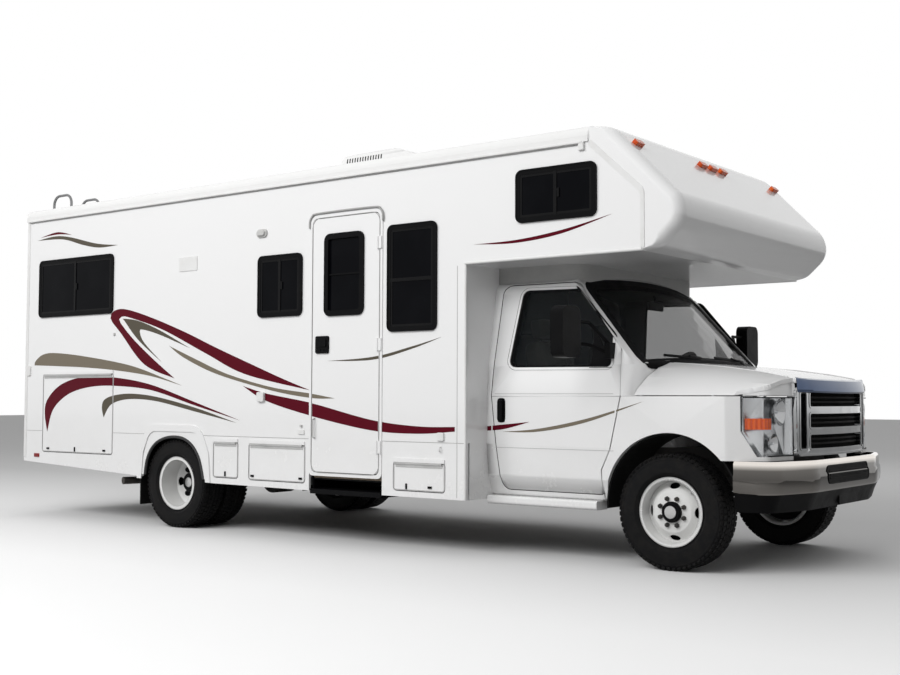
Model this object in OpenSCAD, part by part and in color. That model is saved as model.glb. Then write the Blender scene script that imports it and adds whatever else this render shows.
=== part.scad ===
// A class C motorhome on a cutaway van chassis, built from separate named sub-parts.
// Millimetres. +X is forward, +Y is the left side, +Z is up, and the tyres stand on Z 0.
// The origin lies on the ground under the middle of the overall box.
// Inside the modules X is counted from the front axle; module car() moves the part to the origin.

/* [Running gear] */
// Front axle to rear axle
wheelbase = 4470; // [4400:10:4700]
// Front axle to the front face of the bumper
front_overhang = 800; // [790:5:840]
// Rear axle to the outside of the rear wall
rear_overhang = 2150; // [2130:10:2400]
// How far the ladder stands out behind the rear wall
rear_standoff = 120; // [115:5:150]
// Outside diameter of a tyre
tyre_d = 738; // [725:1:742]
// Width of a tyre
tyre_w = 222; // [214:1:228]
// Diameter over the flange of a rim
rim_d = 444; // [430:2:450]
// Distance between the outer faces of a rim's two flanges
rim_w = 186; // [180:1:192]
// Thickness of a wheel's steel
wheel_t = 9; // [7:0.5:12]
// Middle of the right front tyre to the middle of the left one
front_track = 1763; // [1750:1:1775]
// Middle of the right pair of rear tyres to the middle of the left pair
rear_track = 1970; // [1962:1:1972]
// Middle of one tyre of a pair to the middle of the other
dual_spacing = 265; // [258:1:268]
// Kingpin axis to the middle plane of the front tyre
kingpin_offset = 112; // [106:1:118]
// Radius of the front spindle
spindle_r = 38; // [30:1:44]
// Radius of the rear axle's tube
axle_r = 50; // [40:1:56]
// Radius of the kingpin
kingpin_r = 14; // [10:1:18]
// Gap between round faces that turn on each other
run_gap = 0.3; // [0.25:0.05:0.5]

/* [Chassis] */
// Top of the frame rails above the ground
rail_top = 760; // [758:1:765]
// Height of a rail
rail_h = 190; // [170:5:200]
// Width of a rail's flange
rail_flange = 62; // [55:1:70]
// Thickness of the rail's steel
rail_t = 8; // [6:0.5:12]
// Half the clear width between the rails
rail_in = 370; // [360:1:375]
// Rail's front end ahead of the front axle
rail_front = 500; // [480:5:530]
// Rail's rear end ahead of the rear wall's outside
rail_rear = 60; // [50:5:120]
// Width of a cross-member
cross_w = 70; // [50:5:90]
// Height of a cross-member between the rails
cross_h = 80; // [60:5:90]
// Distance of the outermost outriggers from the coach's two ends
outrigger_end = 200; // [150:10:300]

/* [Coach] */
// Overall width of the coach walls
coach_w = 2500; // [2490:5:2560]
// Front axle back to the front face of the coach's front panels
coach_front = 1410; // [1405:1:1425]
// Bottom of the walls, where the skirts begin
seam_z = 775; // [765:1:785]
// Underside of the roof and its drip rail
rail_z = 2745; // [2700:5:2800]
// Middle of the roof above the drip rail
roof_rise = 140; // [120:5:170]
// Height of the roof's straight side above the drip rail
roof_side = 105; // [95:1:110]
// How far the roof's edge stands out from the walls
roof_lip = 12; // [6:1:20]
// Rounding of the roof's long edges
roof_round = 70; // [50:5:90]
// Thickness of the coach walls
wall_t = 45; // [40:1:50]
// Underside of the coach floor
floor_z = 800; // [798:1:810]
// Thickness of the coach floor
floor_t = 60; // [45:1:70]
// Underside of the part over the cab
cabover_z = 2010; // [2005:1:2030]
// Thickness of the floor over the cab
cabover_t = 55; // [45:1:65]
// Thickness of the skirts
skirt_t = 20; // [15:1:25]
// Bottom of the skirts at the front and in the middle
skirt_z = 385; // [375:1:395]
// Bottom of the skirts at the rear wall
skirt_rear_z = 490; // [470:1:500]
// How far the arch mouldings stand out from the skirts
arch_lip = 10; // [6:1:16]
// Width of the arch mouldings
arch_trim = 55; // [45:1:62]

/* [Nose over the cab] */
// Front axle back to the upright seam between wall and nose
nose_seam = 40; // [30:1:60]
// Height at which the seam begins to slant back
nose_seam_z = 2390; // [2360:5:2410]
// Front axle back to the upper end of the seam
nose_top = 430; // [420:1:450]
// Front axle forward to the tip of the nose
nose_tip = 247; // [230:1:260]
// Thickness of the nose
nose_t = 40; // [34:1:46]
// Rounding of the nose's side edges
nose_round = 85; // [75:1:95]

/* [Windows] */
// Width of the black frame round a window
frame_w = 32; // [24:1:40]
// How far a frame stands out from the wall
frame_lip = 12; // [8:1:16]
// Thickness of window glass
glass_t = 6; // [4:0.5:8]
// Corner rounding of a window
window_r = 45; // [35:1:60]
// Rear window: distance ahead of the rear wall, sill, width, height
bed_window_x = 210; // [190:1:230]
bed_window_z = 1830; // [1800:5:1860]
bed_window_w = 1100; // [1000:10:1200]
bed_window_h = 525; // [480:5:560]
// Middle window: distance behind the entry door's frame, sill, width, height
galley_window_x = 88; // [60:1:120]
galley_window_z = 1720; // [1700:5:1750]
galley_window_w = 480; // [450:5:510]
galley_window_h = 480; // [450:5:510]
// Tall window: distance behind the coach's front, sill, width, height
tall_window_x = 260; // [240:1:280]
tall_window_z = 1567; // [1550:1:1580]
tall_window_w = 450; // [430:5:465]
tall_window_h = 768; // [740:4:780]
// Window over the cab: distance behind the nose seam, sill, width, height
bunk_window_x = 330; // [310:1:350]
bunk_window_z = 2260; // [2240:1:2280]
bunk_window_w = 620; // [600:5:640]
bunk_window_h = 350; // [320:5:370]
// Left side window: distance behind the coach's front, sill, width, height
dinette_window_x = 700; // [650:10:750]
dinette_window_z = 1650; // [1620:5:1680]
dinette_window_w = 1250; // [1150:10:1350]
dinette_window_h = 600; // [560:5:640]

/* [Entry door] */
// Front edge of the leaf behind the coach's front
entry_x = 792; // [785:1:800]
// Width of the leaf
entry_w = 666; // [640:1:690]
// Bottom of the leaf
entry_z = 531; // [526:1:540]
// Wall between the top of the leaf and the rail
entry_gap = 300; // [285:1:330]
// Thickness of the leaf
entry_t = 45; // [40:1:48]
// Width of the frame round the leaf
entry_frame_w = 25; // [20:1:30]
// Gap between moving and fixed pieces
shut_gap = 6; // [5.5:0.25:8]
// Radius of the hinge barrels
barrel_r = 9; // [7:0.5:11]
// Door window: distance from the leaf's front edge, from its bottom, width, height
entry_pane_x = 156; // [140:1:165]
entry_pane_z = 1180; // [1150:1:1200]
entry_pane_w = 374; // [350:1:390]
entry_pane_h = 600; // [560:1:620]
// Depth of the step's housing behind the wall
step_depth = 430; // [400:5:460]
// Thickness of the step's plates
step_t = 12; // [10:1:16]
// Height of the step's housing
step_h = 118; // [110:1:125]

/* [Hatches] */
// Thickness of the small hatches
hatch_t = 18; // [15:1:20]
// Rear hatch: distance ahead of the rear wall, bottom, width, height
hatch_a_x = 290; // [270:1:310]
hatch_a_z = 585; // [575:1:600]
hatch_a_w = 1040; // [1000:5:1080]
hatch_a_h = 710; // [690:2:720]
// Small hatch: distance ahead of the rear axle, bottom, height
hatch_b_x = 495; // [490:1:510]
hatch_b_z = 444; // [440:1:460]
hatch_b_h = 285; // [270:1:295]
// Middle hatch: distance behind the entry door's frame, bottom, height
hatch_c_x = 45; // [40:1:60]
hatch_c_z = 440; // [436:1:460]
hatch_c_h = 285; // [260:1:295]
// Front hatch: distance behind the coach's front, bottom, width, height
hatch_d_x = 185; // [175:1:200]
hatch_d_z = 430; // [425:1:440]
hatch_d_w = 465; // [450:1:480]
hatch_d_h = 200; // [180:1:215]
// Depth of the storage boxes of the low hatches
box_depth = 420; // [380:5:440]
// Depth of the big storage box at the rear
box_a_depth = 560; // [520:5:600]
// Thickness of the storage boxes' sheet
box_t = 12; // [10:1:14]

/* [Cab] */
// Widest part of the cab
cab_w = 2010; // [2000:2:2030]
// Bottom of the cab's sides
cab_z = 412; // [408:1:420]
// Gap between the middle of the cab's roof and the part over the cab
cab_roof_gap = 42; // [36:1:60]
// Thickness of the cab's shell
cab_t = 40; // [34:1:45]
// Thickness of a cab door
cab_door_t = 72; // [66:1:78]
// Bottom of a cab door
cab_door_z = 450; // [446:1:456]
// Top of a cab door below the middle of the cab's roof
cab_door_gap = 82; // [76:1:90]
// Rear edge of a cab door behind the front axle, where it is widest
cab_door_rear = 1376; // [1370:1:1379]
// Front edge of a cab door behind the front axle, where it is furthest forward
cab_door_front = 340; // [334:1:346]
// Front edge of the lower part of a cab door behind the front axle
cab_door_toe = 490; // [486:1:496]
// Glass set back from the door's outer face
cab_glass_in = 26; // [22:1:32]
// Base of the windscreen behind the front axle
screen_x = 150; // [140:1:160]
// Base of the windscreen above the ground
screen_z = 1350; // [1340:1:1360]
// Lean of the windscreen from upright
screen_lean = 43; // [41:0.5:45]
// Radius of the windscreen's bow across the car
screen_bow = 5000; // [4500:50:6000]
// Length of the windscreen opening along its slope
screen_l = 745; // [720:1:755]
// Half width of the windscreen opening at its base
screen_w0 = 872; // [850:1:880]
// Half width of the windscreen opening at its top
screen_w1 = 790; // [770:1:800]
// Lower edge of the windscreen opening above the base line
screen_sill = 24; // [18:1:32]
// Level of the line between fender and bonnet
belt_z = 1105; // [1098:1:1112]
// Underside of the cab floor sits on the rails; thickness of that floor
cab_floor_t = 40; // [30:1:46]
// Half width of the cab floor's inner sill
sill_y = 800; // [790:1:810]
// Thickness of the inner sill
sill_t = 30; // [24:1:36]

/* [Front end] */
// Front axle forward to the middle of the grille's base line
clip_front = 668; // [660:1:680]
// Height of the bonnet's middle above the belt line at the windscreen
bonnet_rise_rear = 235; // [225:1:240]
// Height of the bonnet's middle above the belt line at the grille
bonnet_rise_front = 112; // [105:1:118]
// Thickness of the bonnet
bonnet_t = 22; // [18:1:26]
// Radius of the front wheel arch
arch_r = 470; // [462:1:476]
// Centre of the front wheel arch above the ground
arch_z = 400; // [394:1:406]
// Thickness of the fender's skin
fender_t = 42; // [36:1:46]
// Half the width of the grille
grille_w = 612; // [600:1:620]
// Bottom of the grille
grille_z = 728; // [720:1:735]
// Height of the grille
grille_h = 444; // [438:1:446]
// Depth of the grille
grille_t = 58; // [50:1:64]
// Forward bow of the grille's middle
grille_bow = 70; // [60:1:76]
// Width of the grille's rim and bars
grille_rim = 46; // [40:1:54]
// Side width of the two upright slots of the grille
grille_slot = 62; // [54:1:70]
// Headlamp: outer edge ahead of the front axle
lamp_x = 470; // [462:1:480]
// Headlamp: bottom edge
lamp_z = 732; // [726:1:738]
// Headlamp: height of the outer edge's lower end above the bottom edge
lamp_cut = 155; // [140:1:170]
// Headlamp: length of the slanting part of the outer edge
lamp_slant = 85; // [75:1:95]
// Bumper: bottom edge
bumper_z = 505; // [500:1:510]
// Bumper: height
bumper_h = 200; // [190:1:208]
// Bumper: thickness from front to back
bumper_t = 44; // [38:1:50]
// Bumper: half the overall width
bumper_w = 1010; // [1000:1:1020]
// Bumper: end of its wrapped sides ahead of the front axle
bumper_end = 440; // [432:1:450]
// Height of the black valance under the bumper
valance_h = 112; // [100:1:120]
// Width of a running board
board_w = 140; // [130:1:150]
// Thickness of a running board
board_t = 60; // [50:1:62]

/* [Mirrors and roof] */
// Middle of a mirror head from the middle of the car
mirror_y = 1385; // [1370:1:1400]
// Middle of a mirror head above the ground
mirror_z = 1510; // [1495:1:1525]
// Middle of a mirror head behind the front axle
mirror_x = 520; // [510:1:530]
// Width, height and depth of a mirror head
mirror_w = 215; // [200:1:225]
mirror_h = 330; // [310:1:345]
mirror_t = 95; // [85:1:105]
// Roof air unit: rear end behind the front axle, length, width, height
air_x = 3460; // [3400:10:3550]
air_l = 930; // [880:5:980]
air_w = 660; // [620:5:700]
air_h = 285; // [260:1:300]
// Size and height of the roof vents
vent_w = 400; // [360:5:440]
vent_h = 70; // [55:1:90]
// Ladder: nearer rail from the middle of the car, width, tube radius, lower end, top of the hoops
ladder_y = 900; // [880:1:920]
ladder_w = 320; // [300:1:340]
ladder_r = 12.7; // [11:0.1:14]
ladder_z = 830; // [800:5:860]
ladder_top = 3060; // [3045:1:3080]
// Ladder hoop's reach over the roof, ahead of the rear wall
ladder_in = 170; // [150:1:190]
// Rear bumper: height of its bottom, size of its square tube
rear_bumper_z = 520; // [510:1:530]
rear_bumper_w = 96; // [90:1:100]
// Trailer socket: inside width of the square tube, wall, length behind the rear wall
socket_w = 51; // [50.5:0.1:51.5]
socket_t = 6.3; // [5.5:0.1:7]
socket_out = 90; // [86:1:95]
// Trailer socket: radius of the cross pin hole and its distance from the open end
socket_pin_r = 8.1; // [7.9:0.1:8.4]
socket_pin_x = 45; // [40:1:48]

/* [Details] */
// Reach of the outriggers from the middle of the car
outrigger_y = 620; // [560:5:640]
// Front axle beam: half width, thickness, height and radius of the kingpin bosses, length of the kingpins
beam_w = 32; // [26:1:38]
beam_t = 10; // [8:1:14]
boss_h = 90; // [80:1:96]
boss_r = 30; // [26:1:32]
pin_h = 168; // [160:1:176]
// Radius of the front springs
coil_r = 55; // [45:1:60]
// Leaf spring: half length, bow radius, height of the pack
leaf_l = 650; // [600:5:700]
leaf_bow = 2200; // [2000:20:2600]
leaf_h = 48; // [40:1:56]
// Rear axle: reach of its tube past the middle of the twin tyres
axle_end = 45; // [40:1:50]
// Final drive: radius, width, radius and length of its nose
diff_r = 145; // [130:1:155]
diff_w = 210; // [180:2:240]
snout_r = 62; // [55:1:70]
snout_l = 330; // [300:5:360]
// Engine: front end, half width, bottom, height
engine_l = 420; // [400:5:440]
engine_w = 255; // [230:1:270]
engine_z = 470; // [450:1:490]
engine_h = 540; // [500:5:560]
// Gap between the engine bay's pieces
bay_gap = 20; // [15:1:30]
// Engine mounts: front axle to their rear edge, thickness
mount_x = 100; // [80:1:120]
mount_t = 40; // [30:1:50]
// Gearbox: rear end behind the front axle, half width, height
gearbox_l = 850; // [800:5:900]
gearbox_w = 165; // [150:1:180]
gearbox_h = 200; // [180:1:220]
// Drive shaft: height at the gearbox, radius
shaft_z = 600; // [590:1:620]
shaft_r = 42; // [36:1:46]
// Radiator: rear face, thickness, bottom, height
radiator_x = 450; // [445:1:460]
radiator_t = 45; // [35:1:48]
radiator_z = 530; // [520:1:545]
radiator_h = 560; // [540:1:565]
// Exhaust: front end behind the axle, height, radius
pipe_front = 700; // [650:5:750]
pipe_z = 560; // [550:1:575]
pipe_r = 32; // [26:1:36]
// Exhaust: end behind the rear axle, sideways turn, drop, outer end from the middle
tail_x = 620; // [600:5:650]
pipe_turn = 260; // [240:2:280]
pipe_drop = 200; // [180:1:210]
tail_y = 1215; // [1200:1:1225]
// Silencer: front end behind the axle, length
muffler_x = 1500; // [1450:5:1600]
muffler_l = 700; // [600:10:760]
// Half width of the exhaust's hangers
hanger_w = 14; // [10:1:18]
// Fuel tank: rear end ahead of the rear wall, length, bottom, height, corner radius
tank_x = 330; // [320:5:360]
tank_l = 900; // [850:5:940]
tank_z = 400; // [390:1:410]
tank_h = 255; // [240:1:260]
tank_r = 45; // [30:1:60]
// Stairwell behind the entry door: sheet thickness, depth
well_t = 18; // [15:1:22]
well_depth = 500; // [460:5:520]
// Corner rounding of the hatches
hatch_r = 25; // [18:1:30]
// How far a window's frame reaches over the edge of its hole
frame_sleeve = 14; // [10:1:18]
// Corner rounding of the entry door
entry_r = 40; // [30:1:50]
// Corner rounding of the windscreen
screen_r = 70; // [50:1:90]
// Height of the strips that carry the hatches
strip_h = 26; // [20:1:32]
// Radius of the rubber stops under the bonnet, width of the cab doors' buffers
stop_r = 10; // [8:0.5:11]
buffer_w = 60; // [50:1:70]
// Length of the hinge barrels of the entry door
barrel_h = 90; // [70:1:110]
// Front wheel housings: thickness, inner side from the middle
liner_t = 12; // [10:1:14]
liner_y = 560; // [540:1:565]
// Mud flaps: lower end, inner side from the middle
flap_z = 170; // [150:5:220]
flap_y = 745; // [740:1:760]
// Ladder: bend radius of the hoops, gap under the hoops' feet, height of the stays
ladder_bend = 85; // [75:1:95]
ladder_dip = 1; // [0.8:0.1:1.2]
ladder_foot = 60; // [50:1:80]
// Half length of the rear bumper
rear_bumper_y = 1180; // [1150:5:1200]
// Length of the trailer socket ahead of the rear wall
socket_in = 260; // [230:5:280]
// Marker lamps: width, length, height
lamp_w = 42; // [34:1:50]
lamp_l = 105; // [95:1:120]
lamp_h = 28; // [22:1:34]
// Depth of the headlamps
lamp_t = 62; // [50:1:70]
// Tail lamps: inner edge from the middle, bottom, width, height
tail_lamp_y = 1010; // [1000:1:1030]
tail_lamp_z = 960; // [940:5:980]
tail_lamp_w = 130; // [110:1:150]
tail_lamp_h = 330; // [300:5:350]
// Rear end of the cab's lower part ahead of it: the toe board behind the front axle
cab_toe = 500; // [496:1:506]
// Dashboard: rear edge behind the front axle, bottom, height, corner rounding
dash_x = 560; // [540:1:580]
dash_z = 1000; // [980:1:1020]
dash_h = 290; // [270:1:300]
dash_r = 40; // [30:1:50]
// Steering wheel: place behind the axle, to the left, above the ground, lean, ring radius, grip radius
wheel_x = 640; // [630:1:650]
wheel_y = 420; // [400:1:440]
wheel_z = 1270; // [1260:1:1290]
wheel_lean = 58; // [50:1:64]
hand_r = 185; // [175:1:195]
grip_r = 15; // [12:1:17]
column_l = 190; // [170:1:210]
// Seats: rear of the cushion behind the axle, length, cushion height, backrest thickness, lean, top, rounding
seat_x = 1280; // [1270:1:1290]
seat_l = 520; // [500:1:540]
seat_h = 300; // [280:1:310]
seat_t = 150; // [140:1:165]
seat_lean = 90; // [80:1:100]
seat_top = 860; // [830:1:880]
seat_r = 60; // [50:1:70]
// Seats: middle from the middle of the car, width
seat_y = 430; // [420:1:440]
seat_w = 500; // [480:1:520]
// Mirror foot: place behind the axle, height, half size; radius of the arms
mirror_foot_x = 420; // [415:1:428]
mirror_foot_z = 1400; // [1390:1:1410]
mirror_foot = 26; // [22:1:30]
arm_r = 12; // [10:0.5:14]
// How far the bonnet's shape starts behind the windscreen's base, before it is trimmed
bonnet_back = 130; // [120:1:140]
// Knuckle: gap at the kingpin boss, thickness of an ear and of the upright, spindle past the tyre's middle
ear_gap = 1; // [0.8:0.1:1.5]
ear_t = 34; // [28:1:36]
upright_t = 20; // [16:1:22]
spindle_out = 60; // [50:1:66]
// Wheel hubs: radius in front, radius at the rear, reach inwards, reach outwards
hub_r = 62; // [56:1:66]
rear_hub_r = 74; // [68:1:78]
hub_in = 50; // [46:1:52]
hub_out = 92; // [86:1:100]
// Height and thickness of a rim's flange
flange_h = 17; // [14:0.5:19]
flange_t = 8; // [6:0.5:8]
// Half length and half width of a hand hole in the wheel's disc
hole_l = 19; // [15:1:22]
hole_w = 36; // [28:1:40]

/* [Hidden] */
// Steps in a rounded corner of an outline
arc_n = 5;
// Sides of a tube's outline
tube_n = 12;
// Overlap that joins two shapes of one piece
lap = 2;
// Gap between pieces that sit against each other
seat = 0.4;
// Reach of a cutting shape past the piece
past = 60;
rear_axle_x = -wheelbase;
rear_x = -wheelbase - rear_overhang;
wall_y = coach_w / 2;
in_y = wall_y - wall_t;
hub_z = tyre_d / 2;
floor_top = floor_z + floor_t;
rail_bottom = rail_top - rail_h;
rail_out = rail_in + rail_flange;
roof_top = rail_z + roof_rise;
half_cab = cab_w / 2;
cab_top = cabover_z - cab_roof_gap;
cab_h = cab_top - cab_z;
cab_door_h = cab_top - cab_door_gap - cab_door_z;
bow_front = clip_front + grille_t / 3 + grille_bow;
car_x = (wheelbase + rear_overhang + rear_standoff - front_overhang) / 2;
entry_front = -coach_front - entry_x;
entry_rear = entry_front - entry_w;
entry_top = rail_z - entry_gap;
entry_h = entry_top - entry_z;
entry_edge = entry_frame_w + shut_gap;
entry_hole_front = entry_front + entry_edge;
entry_hole_rear = entry_rear - entry_edge;
entry_face = wall_y + shut_gap;
door_rear_x = -cab_door_rear;
door_front_x = -cab_door_front;
door_toe_x = -cab_door_toe;
door_l = cab_door_rear - cab_door_front;
board_rear = -coach_front + shut_gap;
roof_nose_z = rail_z + roof_side;
bead_r = rim_d / 2 - flange_h;
// Steps, first angle and overrun of the front wheel housings' arc
liner_n = 24;
liner_start = 16;
liner_end = 4;
// Share of the nose's edge rounding left at its lower rear edge
nose_fade_share = 0.15;
// Flat middle of the roof
roof_flat_share = 0.55;
// Clear width between the two front panels
panel_cut_share = 0.80;
// Inner limit of the cab doors across the car
door_in_share = 0.78;
// Place of the second exhaust hanger along the wheelbase, from the rear axle
hanger_share = 0.12;
// Mud flaps from the rear axle, by the tyre's diameter
flap_share = 0.60;
// Inward reach of a mirror's foot, by the cab's half width, before the door's skin trims it
foot_share = 0.14;
// Exhaust between the frame rail and the inner tyre, its silencer's radius by the room there
pipe_share = 0.494;
muffler_share = 0.30;
// Widths of the small and the middle hatch, by the room between wheel arch and entry door
hatch_b_share = 0.2813;
hatch_c_share = 0.5965;
// Place of the nose lamps down the slope
lamp_row_share = 0.17;
// Place of a hand hole, by the bead's radius
hole_at_share = 0.80;
// Roof vents along the coach, from the rear wall
vent_shares = [0.20, 0.42];
// Ladder rungs up to the drip rail
rung_shares = [0.03, 0.16, 0.29, 0.42, 0.55, 0.68, 0.81, 0.94];
// Bonnet stops along the fenders
stop_shares = [-0.30, 0.45];
// Buffers along a cab door, from its front edge
buffer_shares = [0.30, 0.80];
// Hinge barrels up the entry door
hinge_shares = [0.08, 0.47, 0.86];
// Wheel discs: columns share of the rim's radius, share of the depth
front_disc_shares = [[1, 0.10], [0.90, 0.20], [0.76, 0.52], [0.64, 0.72], [0.26, 0.72]];
rear_disc_shares = [[1, 0.52], [0.88, 0.40], [0.74, 0.16], [0.66, 0.068], [0.30, 0.068]];
white = [0.93, 0.93, 0.92];
black = [0.08, 0.08, 0.09];
steel = [0.30, 0.31, 0.33];
chrome = [0.78, 0.80, 0.82];
dark_glass = [0.05, 0.06, 0.07];
amber = [0.95, 0.55, 0.10];
red = [0.65, 0.05, 0.05];
clear = [0.85, 0.88, 0.90];
grey = [0.45, 0.45, 0.46];

// Right-side windows: columns rear edge, sill, width, height
right_windows = [
  [rear_x + bed_window_x, bed_window_z, bed_window_w, bed_window_h],
  [entry_hole_rear - galley_window_x - galley_window_w, galley_window_z, galley_window_w, galley_window_h],
  [-coach_front - tall_window_x - tall_window_w, tall_window_z, tall_window_w, tall_window_h],
  [-nose_seam - bunk_window_x - bunk_window_w, bunk_window_z, bunk_window_w, bunk_window_h]
];
// Left-side windows: columns as above
left_windows = [
  [rear_x + bed_window_x, bed_window_z, bed_window_w, bed_window_h],
  [-coach_front - dinette_window_x - dinette_window_w, dinette_window_z, dinette_window_w, dinette_window_h],
  [-nose_seam - bunk_window_x - bunk_window_w, bunk_window_z, bunk_window_w, bunk_window_h]
];
hatch_room = entry_hole_rear - hatch_c_x - rear_axle_x - hatch_b_x;
hatch_b_w = hatch_room * hatch_b_share;
hatch_c_w = hatch_room * hatch_c_share;
lane = rear_track / 2 - dual_spacing / 2 - tyre_w / 2 - rail_out;
pipe_y = rail_out + lane * pipe_share;
muffler_r = lane * muffler_share;
// Hatches: columns rear edge, bottom, width, height
hatch_a = [rear_x + hatch_a_x, hatch_a_z, hatch_a_w, hatch_a_h];
hatch_b = [rear_axle_x + hatch_b_x, hatch_b_z, hatch_b_w, hatch_b_h];
hatch_c = [entry_hole_rear - hatch_c_x - hatch_c_w, hatch_c_z, hatch_c_w, hatch_c_h];
hatch_d = [-coach_front - hatch_d_x - hatch_d_w, hatch_d_z, hatch_d_w, hatch_d_h];
right_hatches = [hatch_a, hatch_b, hatch_c, hatch_d];
left_hatches = [hatch_a];

// Cab cross-section: columns share of the half width, share of the height, corner radius share
cab_section_shares = [
  [0.925, 0, 0.03], [0.985, 0.090, 0.03], [1, 0.228, 0.06], [1, 0.447, 0.05],
  [0.982, 0.578, 0.05], [0.885, 0.955, 0.09], [0.45, 0.997, 0.05]
];
// Cab door's outline: columns share of the length from the front edge, share of the height, radius share
cab_door_shares = [
  [0.145, 0, 0.03], [0.145, 0.117, 0.04], [0.077, 0.213, 0.05], [0, 0.455, 0.05], [0.004, 0.668, 0.04],
  [0.390, 0.998, 0.06], [0.966, 1, 0.07], [1, 0.455, 0.1], [0.927, 0, 0.06]
];
// Window of a cab door: columns as above
cab_pane_shares = [
  [0.078, 0.588, 0.03], [0.078, 0.730, 0.02], [0.361, 0.962, 0.05], [0.799, 0.968, 0.05],
  [0.868, 0.592, 0.05]
];
// Plan outline of the front end: columns share of the front length, share of the half width, radius share
clip_shares = [[0.55, 1.01, 0.25], [0.93, 0.87, 0.12], [1, 0.60, 0.3], [1.03, 0, 0]];
// Bonnet's cross-section: columns share of the half width, share of the rise
bonnet_shares = [[0, 1], [0.30, 0.99], [0.57, 0.95], [0.61, 0.965], [0.74, 0.80], [0.86, 0.53], [0.95, 0.22], [0.994, 0]];
// Bonnet's length: columns share of the length, share of the way from rear rise to front rise
bonnet_run_shares = [[0, 0], [0.233, 0.14], [0.466, 0.34], [0.698, 0.62], [0.857, 0.88], [0.931, 1.08], [1, 1.16]];
// Nose profile ahead of the seam: columns share of the length, share of the height, radius share
nose_shares = [[0.22, 0.985, 0.28], [0.93, 0.40, 0.25], [1.01, 0.22, 0.235], [0.74, 0.02, 0.24]];
// Stations across the nose's rounded edge, as shares of the rounding
nose_edge_shares = [0.02, 0.12, 0.30, 0.58, 1];
// Rear wheel arch: columns share of the tyre's radius from the axle, height as a share of the tyre's diameter
rear_arch_shares = [[1.12, 0.48, 0], [1.05, 0.84, 0.1], [0.82, 1.085, 0.3]];
// Tyre's half section: columns share of the wall height from the bead, share of the half width
tyre_shares = [[0, 0.745], [0.115, 0.75], [0.30, 0.97], [0.52, 1], [0.78, 0.97], [0.93, 0.87], [1, 0.72]];
// Bumper's section: columns share of the thickness behind the face, share of the height
bumper_out_shares = [[0.40, 0], [0.10, 0.10], [0, 0.30], [0.04, 0.55], [0.25, 0.62], [0.25, 0.92], [0.55, 1]];
bumper_in_shares = [[1, 0], [0.95, 0.10], [0.85, 0.30], [0.85, 0.55], [0.90, 0.62], [0.90, 0.92], [1, 1]];
// Bumper's plan: columns share of the front reach, share of the half width, radius share
bumper_plan_shares = [[0.86, 0.975, 0.2], [1, 0.55, 0.5]];
// Places of frame cross-members and outriggers along the frame, from its front
cross_shares = [0.21, 0.42, 0.62, 0.86, 0.985];
outrigger_shares = [0, 0.16, 0.30, 0.56, 0.72, 0.86, 1];
// Lamps along the nose and the rear wall, as shares of half the width
lamp_row_shares = [-0.87, -0.13, 0, 0.13, 0.87];

function unit(v) = v / norm(v);
function turn(a) = a > 180 ? a - 360 : a < -180 ? a + 360 : a;
function side(p, q) = p[0] * q[1] - p[1] * q[0];
function xy(p) = [p[0], p[1]];
function back(p) = [for (i = [len(p) - 1:-1:0]) p[i]];
function flip(p) = back([for (q = p) [-q[0], q[1]]]);

// Corner b of an anticlockwise outline a-b-c rounded to radius r and moved inwards by t
function corner(a, b, c, r, t) =
  let (
    u = unit(a - b),
    v = unit(c - b),
    s = side(b - a, c - b) > 0 ? 1 : -1,
    h = acos(u * v) / 2,
    w = unit(u + v),
    m = b + w * r / sin(h),
    d0 = u * r / tan(h) + b - m,
    d1 = v * r / tan(h) + b - m,
    a0 = atan2(d0[1], d0[0]),
    da = turn(atan2(d1[1], d1[0]) - a0)
  )
  r <= max(0, s * t)
    ? [b + s * w * t / sin(h)]
    : [for (i = [0:arc_n]) m + (r - s * t) * [cos(a0 + da * i / arc_n), sin(a0 + da * i / arc_n)]];

// Closed anticlockwise outline from rows [x, y, radius], moved inwards by t
function rounded(p, t = 0) =
  let (k = len(p))
  [for (i = [0:k - 1]) each corner(xy(p[(i + k - 1) % k]), xy(p[i]), xy(p[(i + 1) % k]), p[i][2], t)];

// Open run of rows [x, y, radius] between two plain ends, moved to its left by t
function run(p, t = 0) =
  let (
    k = len(p) - 1,
    n0 = unit([p[0][1] - p[1][1], p[1][0] - p[0][0]]),
    n1 = unit([p[k - 1][1] - p[k][1], p[k][0] - p[k - 1][0]])
  )
  concat(
    [xy(p[0]) + n0 * t],
    [for (i = [1:k - 1]) each corner(xy(p[i - 1]), xy(p[i]), xy(p[i + 1]), p[i][2], t)],
    [xy(p[k]) + n1 * t]
  );

function box_rows(x, z, w, h, r) = [[x, z, r], [x + w, z, r], [x + w, z + h, r], [x, z + h, r]];

// Outline [x, z] standing lengthwise, from y0 to y1
module plate_y(p, y0, y1) {
  translate([0, y1, 0])
    rotate([90, 0, 0])
      linear_extrude(y1 - y0)
        polygon(p);
}

// Outline [y, z] standing across the car, from x0 to x1
module plate_x(p, x0, x1) {
  translate([x0, 0, 0])
    rotate([90, 0, 90])
      linear_extrude(x1 - x0)
        polygon(p);
}

// Outline [x, y] lying flat, from z0 to z1
module plate_z(p, z0, z1) {
  translate([0, 0, z0])
    linear_extrude(z1 - z0)
      polygon(p);
}

module block(x0, x1, y0, y1, z0, z1) {
  translate([x0, y0, z0])
    cube([x1 - x0, y1 - y0, z1 - z0]);
}

module both() {
  children();
  mirror([0, 1, 0])
    children();
}

module car() {
  translate([car_x, 0, 0])
    children();
}

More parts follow.
